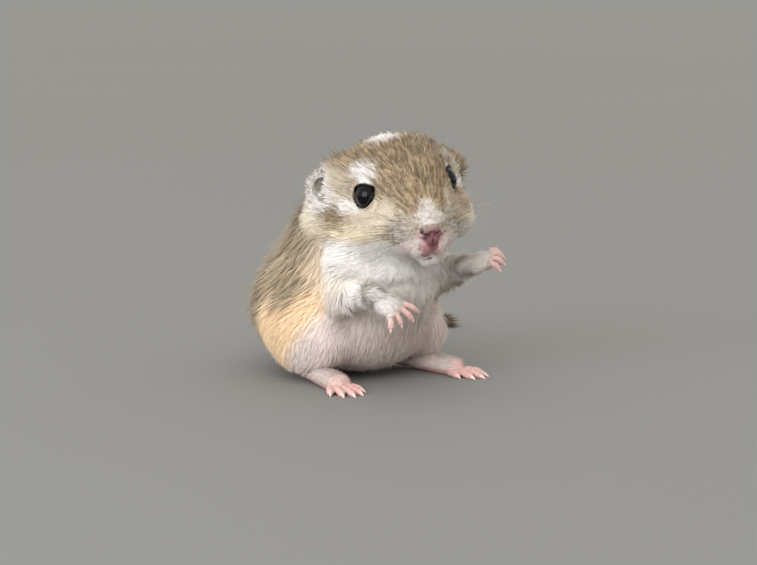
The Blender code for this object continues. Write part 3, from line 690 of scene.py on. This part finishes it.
# The lumps of the snout: the places across, the rest of the place, and the radii.
SNOUT_LUMPS = (
    ((0,), (-10.25, -4.75), (1.9, 1.2, 0.66)),
    ((1.1, -1.1), (-10.3, -5.35), (1.0, 1.2, 0.85)),
    ((0,), (-10.05, -6.3), (1.35, 1.2, 1.3)),
    ((1.0, -1.0), (-9.1, -7.8), (1.3, 1.4, 1.6)),
    ((1.7, -1.7), (-7.9, -8.1), (1.25, 1.6, 1.3)),
    ((-0.3,), (-7.5, -9.85), (1.3, 1.4, 0.5)),
)
NOSTRIL = ((0.45, -11.5, -5.85), (1.05, -11.4, -5.5), (1.6, -10.95, -5.0), (2.1, -10.2, -4.5))
CLEFT = ((0, -11.5, -5.6), (0, -11.3, -6.6), (0, -10.9, -7.6), (-0.05, -10.4, -8.6), (-0.1, -9.9, -9.3))
MOUTH = ((0, -9.9, -9.2), (0.6, -9.5, -9.5), (1.4, -8.8, -9.55), (2.6, -7.6, -9.2))
# Each groove's sides, line, half width, depth and colour; the colour is painted shade in the groove.
GROOVES = (
    ((1, -1), NOSTRIL, 0.36, 0.55, "35191C"),
    ((1,), CLEFT, 0.2, 0.4, "6E353B"),
    ((1, -1), MOUTH, 0.26, 0.5, "6E353B"),
)


def add_ball(mesh, centre, radii, place=Matrix.Identity(4), segments=32, rings=20):
    """An ellipsoid, placed in the given frame."""
    made = bmesh.ops.create_uvsphere(mesh, u_segments=segments, v_segments=rings, radius=1.0)
    shape = place @ Matrix.Translation(Vector(centre)) @ Matrix.Diagonal((*radii, 1))
    bmesh.ops.transform(mesh, matrix=shape, verts=made["verts"])


snout = bmesh.new()
for places, (ahead, high), radii in SNOUT_LUMPS:
    for across in places:
        add_ball(snout, (across, ahead, high), radii, SNOUT)
snout = smoothed(fused(add_object("nose_and_lips", snout), SNOUT_STEP), 6)
points = points_of(snout.data)
colours = np.tile(linear(LIP_PINK), (len(points), 1))
local = to_head(points) + (0.2, 0, 0)
for centre, radii, code in (
    ((0, -11.4, -4.4), (2.6, 1.9, 0.85), NOSE_PINK),
    ((0, -11.6, -6.1), (1.9, 1.9, 1.15), ROSE),
    ((0, -11.0, -7.4), (0.95, 1.6, 1.6), ROSE),
    ((-1.5, -9.4, -8.1), (1.5, 1.8, 1.3), LIP_ROSE),
    ((-0.6, -9.4, -9.5), (1.5, 1.6, 0.5), ROSE),
):
    colours = drawn(colours, (linear(code), egg(local, centre, radii, 0.25)[:, None]))
# Each groove is pressed in and painted dark along its line: painted shade in the creases and the
# nostril slits.
for sides, groove, width, depth, dark in GROOVES:
    for side in sides:
        line = smooth_path([(side * x, y, z) for x, y, z in groove], 11)
        away, _ = line_distance(points, [SNOUT @ p for p in line])
        share = np.exp(-((away / width) ** 2))[:, None]
        points -= points_of(snout.data, "normal") * share * depth
        colours = drawn(colours, (linear(dark), np.clip(share * 1.3, 0, 1)))
        move_points(snout.data, points)
paint(snout, colours)
unwrapped(snout)

# Moist bare skin: pebbled about 0.15 mm apart, so its gloss is broken, with light scattered in.
nose_skin = new_finish(
    "moist_nose_skin", "Voronoi", 0.154, relief=(0.3, 0.05), Roughness=0.38,
    Subsurface_Weight=0.2, Subsurface_Radius=(1.0, 0.35, 0.25), Subsurface_Scale=0.0006,
)


# Forepaws. Small pink hands with four fingers and the stub of a thumb, white-furred on the back,
# bare and creased on the fingers. The near one hangs in front of the chest, the far one higher.
FOREPAW_LENGTH = 7.4
FOREPAW_WAYS = {
    "right": ((0.49, -0.67, -0.50), (-0.37, -0.47, 0.74)),
    "left": ((0.62, -0.70, 0.30), (-0.45, -0.15, 0.85)),
}
# Place across the palm, splay in degrees and share of the finger length, from -X to +X.
FINGERS = {
    "right": ((-1.4, 48, 0.80), (-0.5, 20, 0.86), (0.5, -4, 1.08), (1.35, -22, 1.12)),
    "left": ((-1.4, 34, 0.84), (-0.5, 11, 1.0), (0.5, -9, 1.0), (1.35, -27, 0.85)),
}
FINGER_BEND = {"right": 36, "left": 66}
FINGER_RADIUS = 0.55
PAW_STEP = 0.11


def paw_frame(name):
    """A forepaw's own frame: fingers towards -Y, the back of the paw +Z."""
    way, over = (Vector(v) for v in FOREPAW_WAYS[name])
    ahead = -way.normalized()
    over = (over - ahead * over.dot(ahead)).normalized()
    turn = Matrix((ahead.cross(over), ahead, over)).transposed().to_4x4()
    return Matrix.Translation(FORELEGS[name][2]) @ turn


def add_digit(flesh, claws, place, root, splay, length, radius, bend, claw):
    """One finger or toe, swollen at its joints and tip, and its claw in a mesh of its own."""
    splay = math.radians(splay)
    way = Vector((-math.sin(splay), -math.cos(splay), 0))

    def heading(angle):
        turn = math.radians(angle)
        return way * math.cos(turn) + Vector((0, 0, math.sin(turn)))

    path = [Vector(root)]
    for share, angle in ((0.36, 0.3 * bend), (0.32, -0.3 * bend), (0.32, -bend)):
        path.append(path[-1] + heading(angle) * length * share)
    nail = [path[-1] - heading(-bend) * radius * 0.3]
    for share, angle in ((0.55, -0.8 * bend - 4), (0.6, -1.1 * bend - 12)):
        nail.append(nail[-1] + heading(angle) * claw * share)
    over = place.to_3x3() @ Vector((0, 0, 1))
    fine = smooth_path(path, 13)
    joints = [1.0, 0.95, 0.9, 0.94, 1.02, 0.94, 0.86, 0.86, 0.94, 0.9, 0.84, 0.9, 0.8]
    add_tube(flesh, [place @ p for p in fine], [radius * j for j in joints], 16, 1.0, over)
    thin = smooth_path(nail, 9)
    taper = [radius * r for r in (0.5, 0.5, 0.48, 0.45, 0.4, 0.33, 0.26, 0.17, 0.07)]
    add_tube(claws, [place @ p for p in thin], taper, 10, 1.15, over)


flesh, claws = bmesh.new(), bmesh.new()
for name, side in SIDES.items():
    place = paw_frame(name)
    palm = FOREPAW_LENGTH * 0.58
    add_ball(flesh, (0, -palm * 0.55, 0), (1.95, palm * 0.58, 1.15), place)
    add_ball(flesh, (0, 0.2, 0), (1.25, 1.8, 1.1), place)
    add_ball(flesh, (-side * 1.35, -palm * 0.35, -0.5), (0.5, 0.8, 0.5), place)
    for pad in ((-1.0, -0.8), (0.0, -0.9), (1.0, -0.8), (-0.8, -0.3), (0.8, -0.3)):
        add_ball(flesh, (pad[0], palm * pad[1], -0.75), (0.6, 0.75, 0.5), place, 16, 10)
    for across, splay, share in FINGERS[name]:
        root = (across, -palm * 0.84, 0.0)
        length = FOREPAW_LENGTH * 0.42 * share
        add_digit(flesh, claws, place, root, splay, length, FINGER_RADIUS, FINGER_BEND[name], 0.95)
forepaws = unwrapped(smoothed(fused(add_object("forepaws", flesh), PAW_STEP), 4))

# Thin pink skin of hands and feet: nearly translucent, with creases about 0.25 mm apart across
# the fingers and a faint mottling of blood under it, about 1.1 mm from patch to patch.
paw_skin = new_finish(
    "thin_pink_paw_skin", "Voronoi", 0.25, relief=(0.35, 0.06), Roughness=0.5,
    Subsurface_Weight=0.35, Subsurface_Radius=(1.0, 0.4, 0.3), Subsurface_Scale=0.0008,
)
tree = paw_skin.node_tree
place = tree.nodes["Texture Coordinate"].outputs["Object"]
tint = tree.nodes["Attribute"].outputs["Color"]
blood = add_node(tree, "ShaderNodeTexNoise", {"Vector": place, "Scale": 1000 / 1.1, "Detail": 3.0})
mottled = add_node(
    tree,
    "ShaderNodeMix",
    {"Factor": blood.outputs["Fac"], "A": tint, "B": (*linear("F3D2CB"), 1)},
    data_type="RGBA",
    blend_type="MULTIPLY",
)
tree.links.new(mottled.outputs[2], tree.nodes["Principled BSDF"].inputs["Base Color"])

# Claw horn: pale and glassy, faintly patched with pink.
horn = new_finish(
    "pale_claw_horn", "Noise", 0.4, ("DDB9AE", "E9D2C6"), Roughness=0.25, IOR=1.54,
    Subsurface_Weight=0.3, Subsurface_Scale=0.0004,
)


# Hind feet. Long flat feet, heel and sole on the floor, with five short toes and pale claws.
# The tops are thinly furred and white, the toes pink.
FOOT_LENGTH = 18.5
SOLE_LENGTH = FOOT_LENGTH * 0.74
TOES = ((-1.7, 24, 0.50), (-0.95, 9, 0.86), (-0.05, 0, 1.0), (0.85, -9, 0.90), (1.6, -24, 0.60))
FOOT_STEP = 0.14


def foot_frame(side):
    """A foot's own frame: the heel at its origin, the toes towards -Y."""
    turn = Matrix.Rotation(side * math.radians(12), 4, "Z")
    return Matrix.Translation((side * 9.6, -7.3, 0)) @ turn


flesh = bmesh.new()
for side in SIDES.values():
    place = foot_frame(side)
    centres = [(0, 0, 1.7), (0, -4.0, 1.55), (0, -8.5, 1.35), (0, 1.0 - SOLE_LENGTH, 1.2)]
    path = smooth_path([place @ Vector(c) for c in centres], 15)
    add_tube(flesh, path, [1.7 + 0.35 * i / 14 for i in range(15)], 24, 0.78)
    for across, splay, share in TOES:
        root = (side * across, 0.9 - SOLE_LENGTH, 0.58)
        length = (FOOT_LENGTH * 0.26 + 0.2) * share
        add_digit(flesh, claws, place, root, side * splay, length, 0.68, 9, 1.2)
hindfeet = smoothed(fused(add_object("hindfeet", flesh), FOOT_STEP), 4)
points = points_of(hindfeet.data)
points[:, 2] = np.maximum(points[:, 2], 0.0)
move_points(hindfeet.data, points)
unwrapped(hindfeet)
for vert in claws.verts:
    vert.co.z = max(vert.co.z, 0.0)
claws = add_object("claws", claws)


# Coat. Single hairs and small tufts of them, each a thin closed spindle rooted in the skin. They
# lie back from the nose over the head and down over the body, short on the face and legs.

# A hair's five points are its root, the left, ridge and right of its middle, and its tip.
HAIR_FACES = np.array([(0, 1, 2), (0, 2, 3), (0, 3, 1), (4, 2, 1), (4, 3, 2), (4, 1, 3)])
HAIR_SHADES = np.array((0.9, 1.0, 1.0, 1.0, 1.05))
# How far each point's normal leans to its side, so that a flat hair shades as a round one.
HAIR_LEANS = np.array((0, -0.45, 0, 0.45, 0))
# Half the width of a hair's own patch in OFBake, at its root's place on the skin's unwrap.
PATCH = 0.0015
TRIANGLES_A_PIECE = 190000
dice = np.random.default_rng(11)


def unit(vectors):
    return vectors / np.maximum(np.linalg.norm(vectors, axis=1), 1e-9)[:, None]


def scatter(host, density, most):
    """Random places on a mesh: points, normals and places on its unwrap.

    density gives hairs for each square millimetre at points, and most is its highest value.
    """
    mesh = host.data
    mesh.calc_loop_triangles()
    verts = rows_of(mesh.loop_triangles, "vertices", 3, np.int32)
    loops = rows_of(mesh.loop_triangles, "loops", 3, np.int32)
    area = rows_of(mesh.loop_triangles, "area", 1).ravel()
    unwrap = rows_of(mesh.uv_layers["OFBake"].uv, "vector", 2)
    chosen = dice.choice(len(area), int(area.sum() * most), p=area / area.sum(dtype=float))
    a, b = dice.random(len(chosen)), dice.random(len(chosen))
    over = a + b > 1
    a[over], b[over] = 1 - a[over], 1 - b[over]
    shares = np.stack((1 - a - b, a, b), axis=1)[:, :, None]
    roots = (points_of(mesh)[verts[chosen]] * shares).sum(axis=1)
    normals = unit((points_of(mesh, "normal")[verts[chosen]] * shares).sum(axis=1))
    places = (unwrap[loops[chosen]] * shares).sum(axis=1)
    kept = dice.random(len(roots)) * most < density(roots)
    return roots[kept], normals[kept], places[kept]


def hair_mesh(name, spines, across, over, widths, tints, places):
    """Joined closed spindles. A spine is root, middle and tip."""
    count = len(spines)
    half = across * (widths / 2)[:, None]
    middle = spines[:, 1]
    ridge = middle + over * (widths * 0.22)[:, None]
    points = np.stack((spines[:, 0], middle - half, ridge, middle + half, spines[:, 2]), axis=1)
    points[:, :, 2] = np.maximum(points[:, :, 2], 0.01)
    corners = (HAIR_FACES + (np.arange(count) * len(HAIR_SHADES))[:, None, None]).ravel()
    mesh = bpy.data.meshes.new(name)
    mesh.vertices.add(count * len(HAIR_SHADES))
    mesh.vertices.foreach_set("co", points.astype(np.float32).ravel())
    mesh.loops.add(len(corners))
    mesh.loops.foreach_set("vertex_index", corners.astype(np.int32))
    mesh.polygons.add(count * len(HAIR_FACES))
    mesh.polygons.foreach_set("loop_start", np.arange(0, len(corners), 3, dtype=np.int32))
    mesh.update(calc_edges=True)
    # Light falls on a hair's upper faces much as on the hide, which keeps the coat soft. The
    # third face of each half is the hair's underside.
    facing = over[:, None] + across[:, None] * HAIR_LEANS[HAIR_FACES.ravel()][None, :, None]
    under = np.repeat([False, False, True, False, False, True], 3)
    facing[:, under] *= -1
    mesh.normals_split_custom_set(unit(facing.reshape(-1, 3)))
    patch = np.array([(0, -PATCH), (-PATCH, 0), (0, PATCH * 0.2), (PATCH, 0), (0, PATCH)])
    spread = (places[:, None] + patch[None]).reshape(-1, 2)
    layer = mesh.uv_layers.new(name="OFBake")
    layer.uv.foreach_set("vector", spread[corners].astype(np.float32).ravel())
    obj = place_object(name, mesh)
    paint(obj, (tints[:, None] * HAIR_SHADES[None, :, None]).reshape(-1, 3))
    return obj


def grouped(spots, size):
    """Groups neighbouring hairs: the group of each, and the hair that leads it."""
    leaders = dice.choice(len(spots), max(1, int(len(spots) / size)), replace=False)
    tree = kdtree.KDTree(len(leaders))
    for k, leader in enumerate(leaders):
        tree.insert(spots[leader], k)
    tree.balance()
    nearest = np.array([tree.find(spot)[1] for spot in spots])
    return nearest, leaders[nearest]


def drawn_together(points):
    """The points, drawn together along the coat's lie, so that a group of them is a streak."""
    down = BODY_LIE / np.linalg.norm(BODY_LIE)
    body = points - down * (points @ down * 0.85)[:, None]
    from_nose = to_head(points) - NOSE_TIP
    reach = np.linalg.norm(from_nose, axis=1)
    fan = unit(from_nose) * (14 + 0.12 * reach)[:, None]
    on_head = (head_share(points) > 0.5) & (reach > 4)
    return np.where(on_head[:, None], fan, body)


def paw_shares(points):
    """For each paw, 1 on it and the way of its digits; and 1 on the digits of all."""
    paws, digits = [], np.zeros(len(points))
    for name, side in SIDES.items():
        wrist, way = np.array(FORELEGS[name][2]), np.array(FOREPAW_WAYS[name][0])
        ahead = (points - wrist) @ way
        hand = ramp(ahead, -0.6, 0.6) * (np.linalg.norm(points - wrist, axis=1) < 9)
        sole = foot_frame(side)
        seen = seen_from(sole, points)
        foot = (np.abs(seen[:, 0]) < 3.2) * ramp(-points[:, 2], -3.6, -3.0)
        foot = foot * (seen[:, 1] < 2.2) * (seen[:, 1] > -20)
        digits += hand * ramp(ahead, 3.0, 4.4) + foot * ramp(-seen[:, 1], 10.5, 13.5)
        paws += [(hand, way), (foot, np.array(sole.to_3x3() @ Vector((0, -1, 0))))]
    return paws, digits


NOSE_TIP = np.array((0, -10.6, -5.0))
BODY_LIE = np.array((0.0, 0.45, -0.90))


def lie(points, normals):
    """The way in which the coat lies, along the surface."""
    local = to_head(points)
    head = head_share(points)
    ways = np.tile(BODY_LIE, (len(points), 1))
    ways[:, 0] += np.sign(points[:, 0]) * 0.12
    from_nose = unit(local - NOSE_TIP)
    for side in SIDES.values():
        away = local - np.array(SOCKET) * side
        near = 1 - ramp(np.linalg.norm(away, axis=1), 2.4, 4.6)
        towards = np.minimum((from_nose * unit(away)).sum(axis=1), 0)
        from_nose += unit(away) * ((0.35 - towards) * near)[:, None]
    for name, (place, look) in EARS.items():
        look = np.array(Vector(look).normalized())
        away = local - np.array(place)
        spread = unit(away - look * (away @ look)[:, None])
        near = (1 - ramp(np.linalg.norm(away, axis=1), 3.2, 3.9)) * ramp(spread[:, 1], -0.9, -0.2)
        inside = ((normals @ HEAD_TURN) * spread).sum(axis=1) < -0.2
        outwards = np.where(inside[:, None], spread * 0.3 + (0, 0.5, 0.8), spread - look * 0.2)
        from_nose += (outwards - from_nose) * near[:, None]
    ways = drawn(ways, (from_nose @ HEAD_TURN.T, head[:, None]))
    for line in FORELEGS.values():
        away, along = line_distance(points, line[1:])
        share = (1 - ramp(away, 2.8, 4.0)) * ramp(along, 0.15, 0.5)
        limb = unit((np.array(line[2]) - np.array(line[1]))[None])
        ways = drawn(ways, (limb, share[:, None]))
    for share, way in paw_shares(points)[0]:
        ways = drawn(ways, (way, share[:, None]))
    _, along = line_distance(points, tail_line)
    steps = (along * (TAIL_STEPS - 1)).astype(int)
    ahead = unit(np.gradient(np.array(tail_line), axis=0))[steps]
    ways = drawn(ways, (ahead, tail_share(points)[:, None]))
    return unit(ways - normals * (ways * normals).sum(axis=1)[:, None])


def bare_share(points):
    """1 on the bare nose, lips and eye openings."""
    local = to_head(points)
    share = egg(local, (-0.4, -11.2, -5.7), (2.4, 2.4, 1.8), 0.1)
    share = np.maximum(share, egg(local, (-0.6, -10.2, -7.8), (1.4, 2.0, 2.0), 0.1))
    return np.maximum(share, lid_share(points, 0.12, 0.13))


def coat_density(points):
    """Hairs for each square millimetre, closest on the face and ears."""
    head = head_share(points)
    front = head * (1 - ramp(to_head(points)[:, 1], -4.0, 3.0))
    density = drawn(42 + 10 * head + 22 * front, (72, ear_share(points)), (40, arm_share(points)))
    return density * (1 - bare_share(points))


def fluff(points):
    """1 on the nape and back, and more on the temple, where the coat is long and stands out."""
    share = ramp(points[:, 1], -15, -7) * ramp(points[:, 2], 7, 15)
    share = share * (1 - head_share(points)) * (1 - tail_share(points))
    return np.maximum(share, 1.1 * temple_share(points))


def coat_length(points):
    local, head = to_head(points), head_share(points)
    face = 0.85 + 1.5 * ramp(local[:, 1], -7.0, 3.0)
    low = ramp(-local[:, 2], 4.0, 9.0) * ramp(local[:, 1], -6.0, 0.0)
    before_ear = pair(local, (11.2, 6.6, 0.2), (2.6, 2.0, 3.2), 0.4) * head
    _, along = line_distance(points, tail_line)
    paws, digits = paw_shares(points)
    return drawn(
        2.8 + 1.7 * fluff(points),
        (face + 0.5 * low + 1.6 * temple_share(points), head),
        (0.65, pair(local, SOCKET, (3.5, 3.5, 3.2), 0.3) * head),
        (2.7, before_ear),
        (1.3, ear_share(points) * (1 - before_ear)),
        (2.3, arm_share(points)),
        (1.25 + 2.9 * ramp(along, 0.6, 0.85), tail_share(points)),
        (1.2 - 0.75 * digits, np.clip(sum(share for share, _ in paws), 0, 1)),
        (0.45, egg(local, (0, -10.3, -6.5), (3.6, 3.4, 3.8), 0.4) * head),
    )


def grow(name, slot, roots, normals, places, lift, width, pull, size=9, sway=0.16):
    """Grows hairs at the given places and keeps them as pieces of the allowed size.

    Each stands off the skin by an angle within lift, in degrees, and strays by sway from the
    lie. Its tip is drawn by pull towards that of the hair that leads its tuft of about size.
    """
    count = len(roots)
    ways = lie(roots, normals)
    lengths = coat_length(roots) * dice.uniform(0.7, 1.2, count)
    across = unit(np.cross(normals, ways))
    ways = unit(ways + across * dice.normal(0, sway, count)[:, None])
    across = unit(np.cross(normals, ways))
    streak, _ = grouped(drawn_together(roots), 11)
    kind = 0.65 * dice.random(streak.max() + 1)[streak] + 0.35 * dice.random(count)
    fur, ticks = markings(roots + dice.normal(0, 0.35, (count, 3)))
    dark, light = (kind < 0.32) * ticks, (kind > 0.66) * ticks
    stray = dice.random(count) < 0.04 + 0.04 * fluff(roots)
    lengths = lengths * (1 + 0.4 * dark) * (1 + 0.25 * stray * fluff(roots))
    rise = np.radians(dice.uniform(*lift, count) + 22 * stray + 15 * fluff(roots))

    def at(share):
        ahead = ways * (lengths * np.cos(rise) * share)[:, None]
        up = lengths * np.sin(rise) * (share - 0.42 * share * share) * 1.25
        return roots + ahead + normals * up[:, None]

    tuft, leader = grouped(roots, size)
    pull = pull * (1 - 0.7 * ear_share(roots)) * dice.uniform(0.3, 1.0, count)
    shift = (at(1.0)[leader] - at(1.0)) * pull[:, None]
    tips, middle = at(1.0) + shift, at(0.45) + shift * 0.3
    spines = np.stack((roots - normals * 0.1, middle, tips), axis=1)
    tone = dice.normal(1.0, 0.05, count)
    tuft_tone = 1 + dice.normal(0, 1, tuft.max() + 1)[tuft] * (0.02 + 0.09 * ticks)
    tuft_tone += dice.normal(0, 1, streak.max() + 1)[streak] * 0.1 * ticks
    tone = tone * np.maximum(tuft_tone, 0.5) * (1 - 0.45 * dark) * (1 + 0.35 * light)
    tints = np.clip(fur * tone[:, None], 0, 0.95)
    widths = width * dice.uniform(0.75, 1.25, count)
    pieces = math.ceil(count * len(HAIR_FACES) / TRIANGLES_A_PIECE)
    order = np.argsort(roots @ np.array((0.3, 1.0, 0.2)))
    hairs = spines, across, normals, widths, tints, places
    for number, chosen in enumerate(np.array_split(order, pieces)):
        title = name if pieces == 1 else f"{name}_{number + 1}"
        finish_piece(hair_mesh(title, *(rows[chosen] for rows in hairs)), hair, slot)


# Hair: smooth keratin, softly shiny along its length. Its colour is kept on the points, darker
# at the root. The sheen stands for light that real hairs scatter among themselves.
hair = new_finish(
    "short_soft_hair", Roughness=0.55, Specular_IOR_Level=0.2, Sheen_Weight=0.05, Sheen_Roughness=0.4
)
roots, normals, places = scatter(skin, coat_density, 76)
head, tail = head_share(roots) > 0.5, tail_share(roots) > 0.5
local = to_head(roots)
width = (0.10 + 0.04 * ramp(local[:, 1], -8.0, 4.0)) * (1 - 0.3 * ear_share(roots))
short = head & (local[:, 1] < 1.5)
# Name, slot, which hairs, lift, width, pull, size of the tufts, and sway.
regions = (
    ("coat_face", "coat_face", short, (7, 16), width, 0.45, 14, 0.12),
    ("coat_crown", "coat_face", head & ~short, (8, 18), width, 0.5, 18, 0.12),
    ("coat_tail", "coat_tail", tail, (10, 26), 0.14, 0.3, 9, 0.2),
    ("coat_body", "coat_back", ~head & ~tail, (5, 13), 0.12, 0.3, 16, 0.12),
)
for name, slot, chosen, lift, wide, pull, size, sway in regions:
    where = roots[chosen], normals[chosen], places[chosen]
    wide = np.broadcast_to(wide, len(roots))[chosen]
    grow(name, slot, *where, lift, wide, pull, size, sway)


PAW_PINK = "D8B9B3"


def down_density(points):
    """Short hair on the backs of the hands, the tops of the feet and the knuckles."""
    density = np.zeros(len(points))
    for name in SIDES:
        seen = seen_from(paw_frame(name), points)
        back = np.maximum(ramp(seen[:, 2], -0.5, 0.5), ramp(seen[:, 1], -1.6, -0.8))
        back = back * (np.linalg.norm(seen, axis=1) < 9)
        density += back * (5 + 55 * (1 - ramp(-seen[:, 1], 3.4, 4.8)))
    for side in SIDES.values():
        seen = seen_from(foot_frame(side), points)
        top = ramp(points[:, 2], 0.7, 1.6) * (np.abs(seen[:, 0]) < 5)
        density += top * (4 + 44 * (1 - ramp(-seen[:, 1], 10.5, 14.0)))
    return density


def lip_density(points):
    """Short white hair on the lips and over the band of the nose, none by the cleft."""
    local = to_head(points)
    lips = ramp(np.abs(local[:, 0] + 0.7), 1.1, 1.9) * (1 - ramp(local[:, 2], -6.6, -5.9))
    lips = lips * ramp(local[:, 2], -9.4, -9.0)
    chin = 1 - ramp(local[:, 2], -10.4, -10.1)
    band = ramp(local[:, 2], -4.6, -4.2)
    return 60 * np.maximum(np.maximum(lips, chin), band)


for paws in (forepaws, hindfeet):
    furred = np.clip(down_density(points_of(paws.data)) / 45, 0, 1)[:, None] * 0.8
    paint(paws, drawn(linear(PAW_PINK), (linear(WHITE), furred)))
for name, host, density, most, wide in (
    ("coat_lips", snout, lip_density, 60, 0.09),
    ("coat_hands", forepaws, down_density, 60, 0.10),
    ("coat_feet", hindfeet, down_density, 50, 0.11),
):
    roots, normals, places = scatter(host, density, most)
    grow(name, "coat_pale", roots, normals, places, (8, 20), wide, 0.3)

# The skins are scaled to metres only now, because the hairs were rooted in them in millimetres.
finish_piece(
    skin, hide, "coat_back", *FLESH, "ear_right", "ear_left", "tail_base", "tail_middle", "tail_tip"
)
finish_piece(snout, nose_skin, "nose_skin")
finish_piece(forepaws, paw_skin, "paw_skin", "forepaw_right", "forepaw_left")
finish_piece(hindfeet, paw_skin, "paw_skin", "hindfoot_right", "hindfoot_left")
finish_piece(claws, horn, "paw_skin")


# Whiskers and lashes. Single stiff hairs: tapered, springy, dark at the root and pale at the
# tip, rooted in rows in the whisker pads, with a few over the eyes and lashes on the lids.
WHISKER_ROWS = ((-3.4, 4, 9.0), (-4.5, 5, 11.5), (-5.6, 5, 12.5), (-6.7, 4, 10.0))
LASHES = {"right": (0.9, 1.35), "left": (1.0, 1.6)}


def add_bristle(mesh, shade, turn, start, way, length, thickness, droop, dark=0.0):
    """One closed tapered curved hair. Its points' shade runs from 0 at the root to 1."""
    way = turn.to_3x3() @ way.normalized()
    steps = [k / 6 for k in range(7)]
    path = [start + way * length * t + Vector((0, 0, -droop * length * t * t)) for t in steps]
    before = len(mesh.verts)
    add_tube(mesh, path, [thickness / 2 * (1 - 0.8 * t) for t in steps], 4, 1.0, (0.1, 0.2, 1))
    mesh.verts.ensure_lookup_table()
    for vert in mesh.verts[before:]:
        shade.append(min(1.0, (vert.co - start).length / length) * (1 - dark))


bristles, shade = bmesh.new(), []
face = BVHTree.FromPolygons(
    [Vector(p) for p in points_of(skin.data) * 1000], [p.vertices[:] for p in skin.data.polygons]
)
for side in SIDES.values():
    for z, count, longest in WHISKER_ROWS:
        for k in range(count):
            back = k / (count - 1)
            spot = Vector((side * 14, -9.1 + 2.9 * back + dice.normal(0, 0.12), z + 0.3 * back))
            spot.z += dice.normal(0, 0.12)
            start = face.ray_cast(HEAD @ spot, HEAD.to_3x3() @ Vector((-side, 0.12, 0)))[0]
            way = Vector((side * (0.75 + 0.1 * back), 0.25 + 0.5 * back, 0.12 + (z + 4.6) * 0.12))
            way += Vector(dice.normal(0, 0.06, 3))
            length = longest * (0.5 + 0.5 * back) * dice.uniform(0.85, 1.1)
            add_bristle(bristles, shade, HEAD, start, way, length, 0.075, 0.12)
    for x, y, z, length in ((-5.2, -1.6, 4.0, 5.5), (-5.6, -0.8, 4.2, 6.5), (-9.6, 1.6, -5.6, 6.0)):
        spot = HEAD @ Vector((-side * x, y, z))
        start = face.find_nearest(spot)[0]
        way = Vector((side * 0.6, 0.5, 0.55 if z > 0 else -0.2))
        add_bristle(bristles, shade, HEAD, start, way, length, 0.07, 0.1)
for name, side in SIDES.items():
    eye, loop = eye_frame(side), lid_loop(side)
    for point in loop:
        forward, high = -side * point.x, point.y
        if high < -0.2 and name == "right" or dice.random() < 0.35:
            continue
        root = eye @ on_eye(point.x, point.y, 0.12)
        away = Vector((point.x, point.y, 0)).normalized()
        way = away * 0.8 + Vector((-side * 0.35, -0.05, 0.75)) + Vector(dice.normal(0, 0.12, 3))
        length = dice.uniform(*LASHES[name]) * (0.6 + 0.4 * (forward > 0.8))
        add_bristle(bristles, shade, eye, root, way, length, 0.07, 0.05, 0.8)
bristles = add_object("whiskers_and_lashes", bristles)
paint(bristles, drawn(linear("3A302A"), (linear("CFC3B6"), np.array(shade)[:, None] ** 0.8)))

# Stiff hair: thick shiny keratin, a little uneven along its length.
stiff = new_finish(
    "stiff_whisker_keratin", "Noise", 0.2, relief=(0.2, 0.01), Roughness=0.4, IOR=1.55
)
finish_piece(bristles, stiff, "coat_pale")


# Floor, light and camera. A plain pale floor, a window on the animal's right, wide soft daylight
# from before it on the same side, and the view from a little above its head.
floor_mesh = bmesh.new()
bmesh.ops.create_grid(floor_mesh, x_segments=1, y_segments=1, size=8.0)
floor = add_object("floor", floor_mesh)
# Matte floor paint: dull, with a tone so slightly uneven that it doesn't look flat.
pale = new_finish("pale_matte_floor", "Noise", 330, ("7A7975", "7F7E7A"), Roughness=0.8)
floor.data.materials.append(pale)

world = bpy.data.worlds.new("studio")
bpy.context.scene.world = world
world.use_nodes = True
sky = world.node_tree.nodes["Background"].inputs
sky["Color"].default_value = (*linear("F2F1EE"), 1)
sky["Strength"].default_value = 1.1


def add_light(name, kind, way, place=(0, 0, 0), **settings):
    """A soft light that shines from its way and place, with its own settings."""
    obj = place_object(name, bpy.data.lights.new(name, kind))
    for setting, value in settings.items():
        setattr(obj.data, setting, value)
    obj.location = place
    obj.rotation_euler = Vector(way).to_track_quat("Z", "Y").to_euler()
    return obj


WINDOW = Vector((-0.50, -0.08, 0.15))
add_light(
    "window", "AREA", WINDOW - Vector((0, -0.01, 0.03)), WINDOW,
    shape="DISK", size=0.42, energy=2.0, color=linear("EEF3FF"),
)
sun = add_light("daylight", "SUN", (-0.58, -0.62, 0.65), energy=1.15, angle=math.radians(50))
sun.visible_glossy = False

AZIMUTH, ELEVATION, DISTANCE = math.radians(-38), math.radians(8), 0.36
# A pixel's size at the head, the photograph's size, and where the midpoint of the eyes is in it.
PIXEL = 0.00016
PHOTO_SIZE = Vector((757, 565))
EYES_PIXEL = Vector((408, 188))
right = Vector((math.cos(AZIMUTH), math.sin(AZIMUTH), 0))
back = Vector((0, 0, math.sin(ELEVATION))) + right.cross((0, 0, 1)) * math.cos(ELEVATION)
up = back.cross(right)
camera = place_object("camera", bpy.data.cameras.new("camera"))
camera.data.sensor_width = 36.0
camera.data.lens = 36.0 * DISTANCE / (PHOTO_SIZE.x * PIXEL)
camera.data.clip_start = 0.01
across, down = (EYES_PIXEL - PHOTO_SIZE / 2) * PIXEL
camera.location = HEAD.translation * 0.001 - right * across + up * down + back * DISTANCE
camera.rotation_euler = back.to_track_quat("Z", "Y").to_euler()
bpy.context.scene.camera = camera
bpy.context.scene.view_settings.view_transform = "Standard"
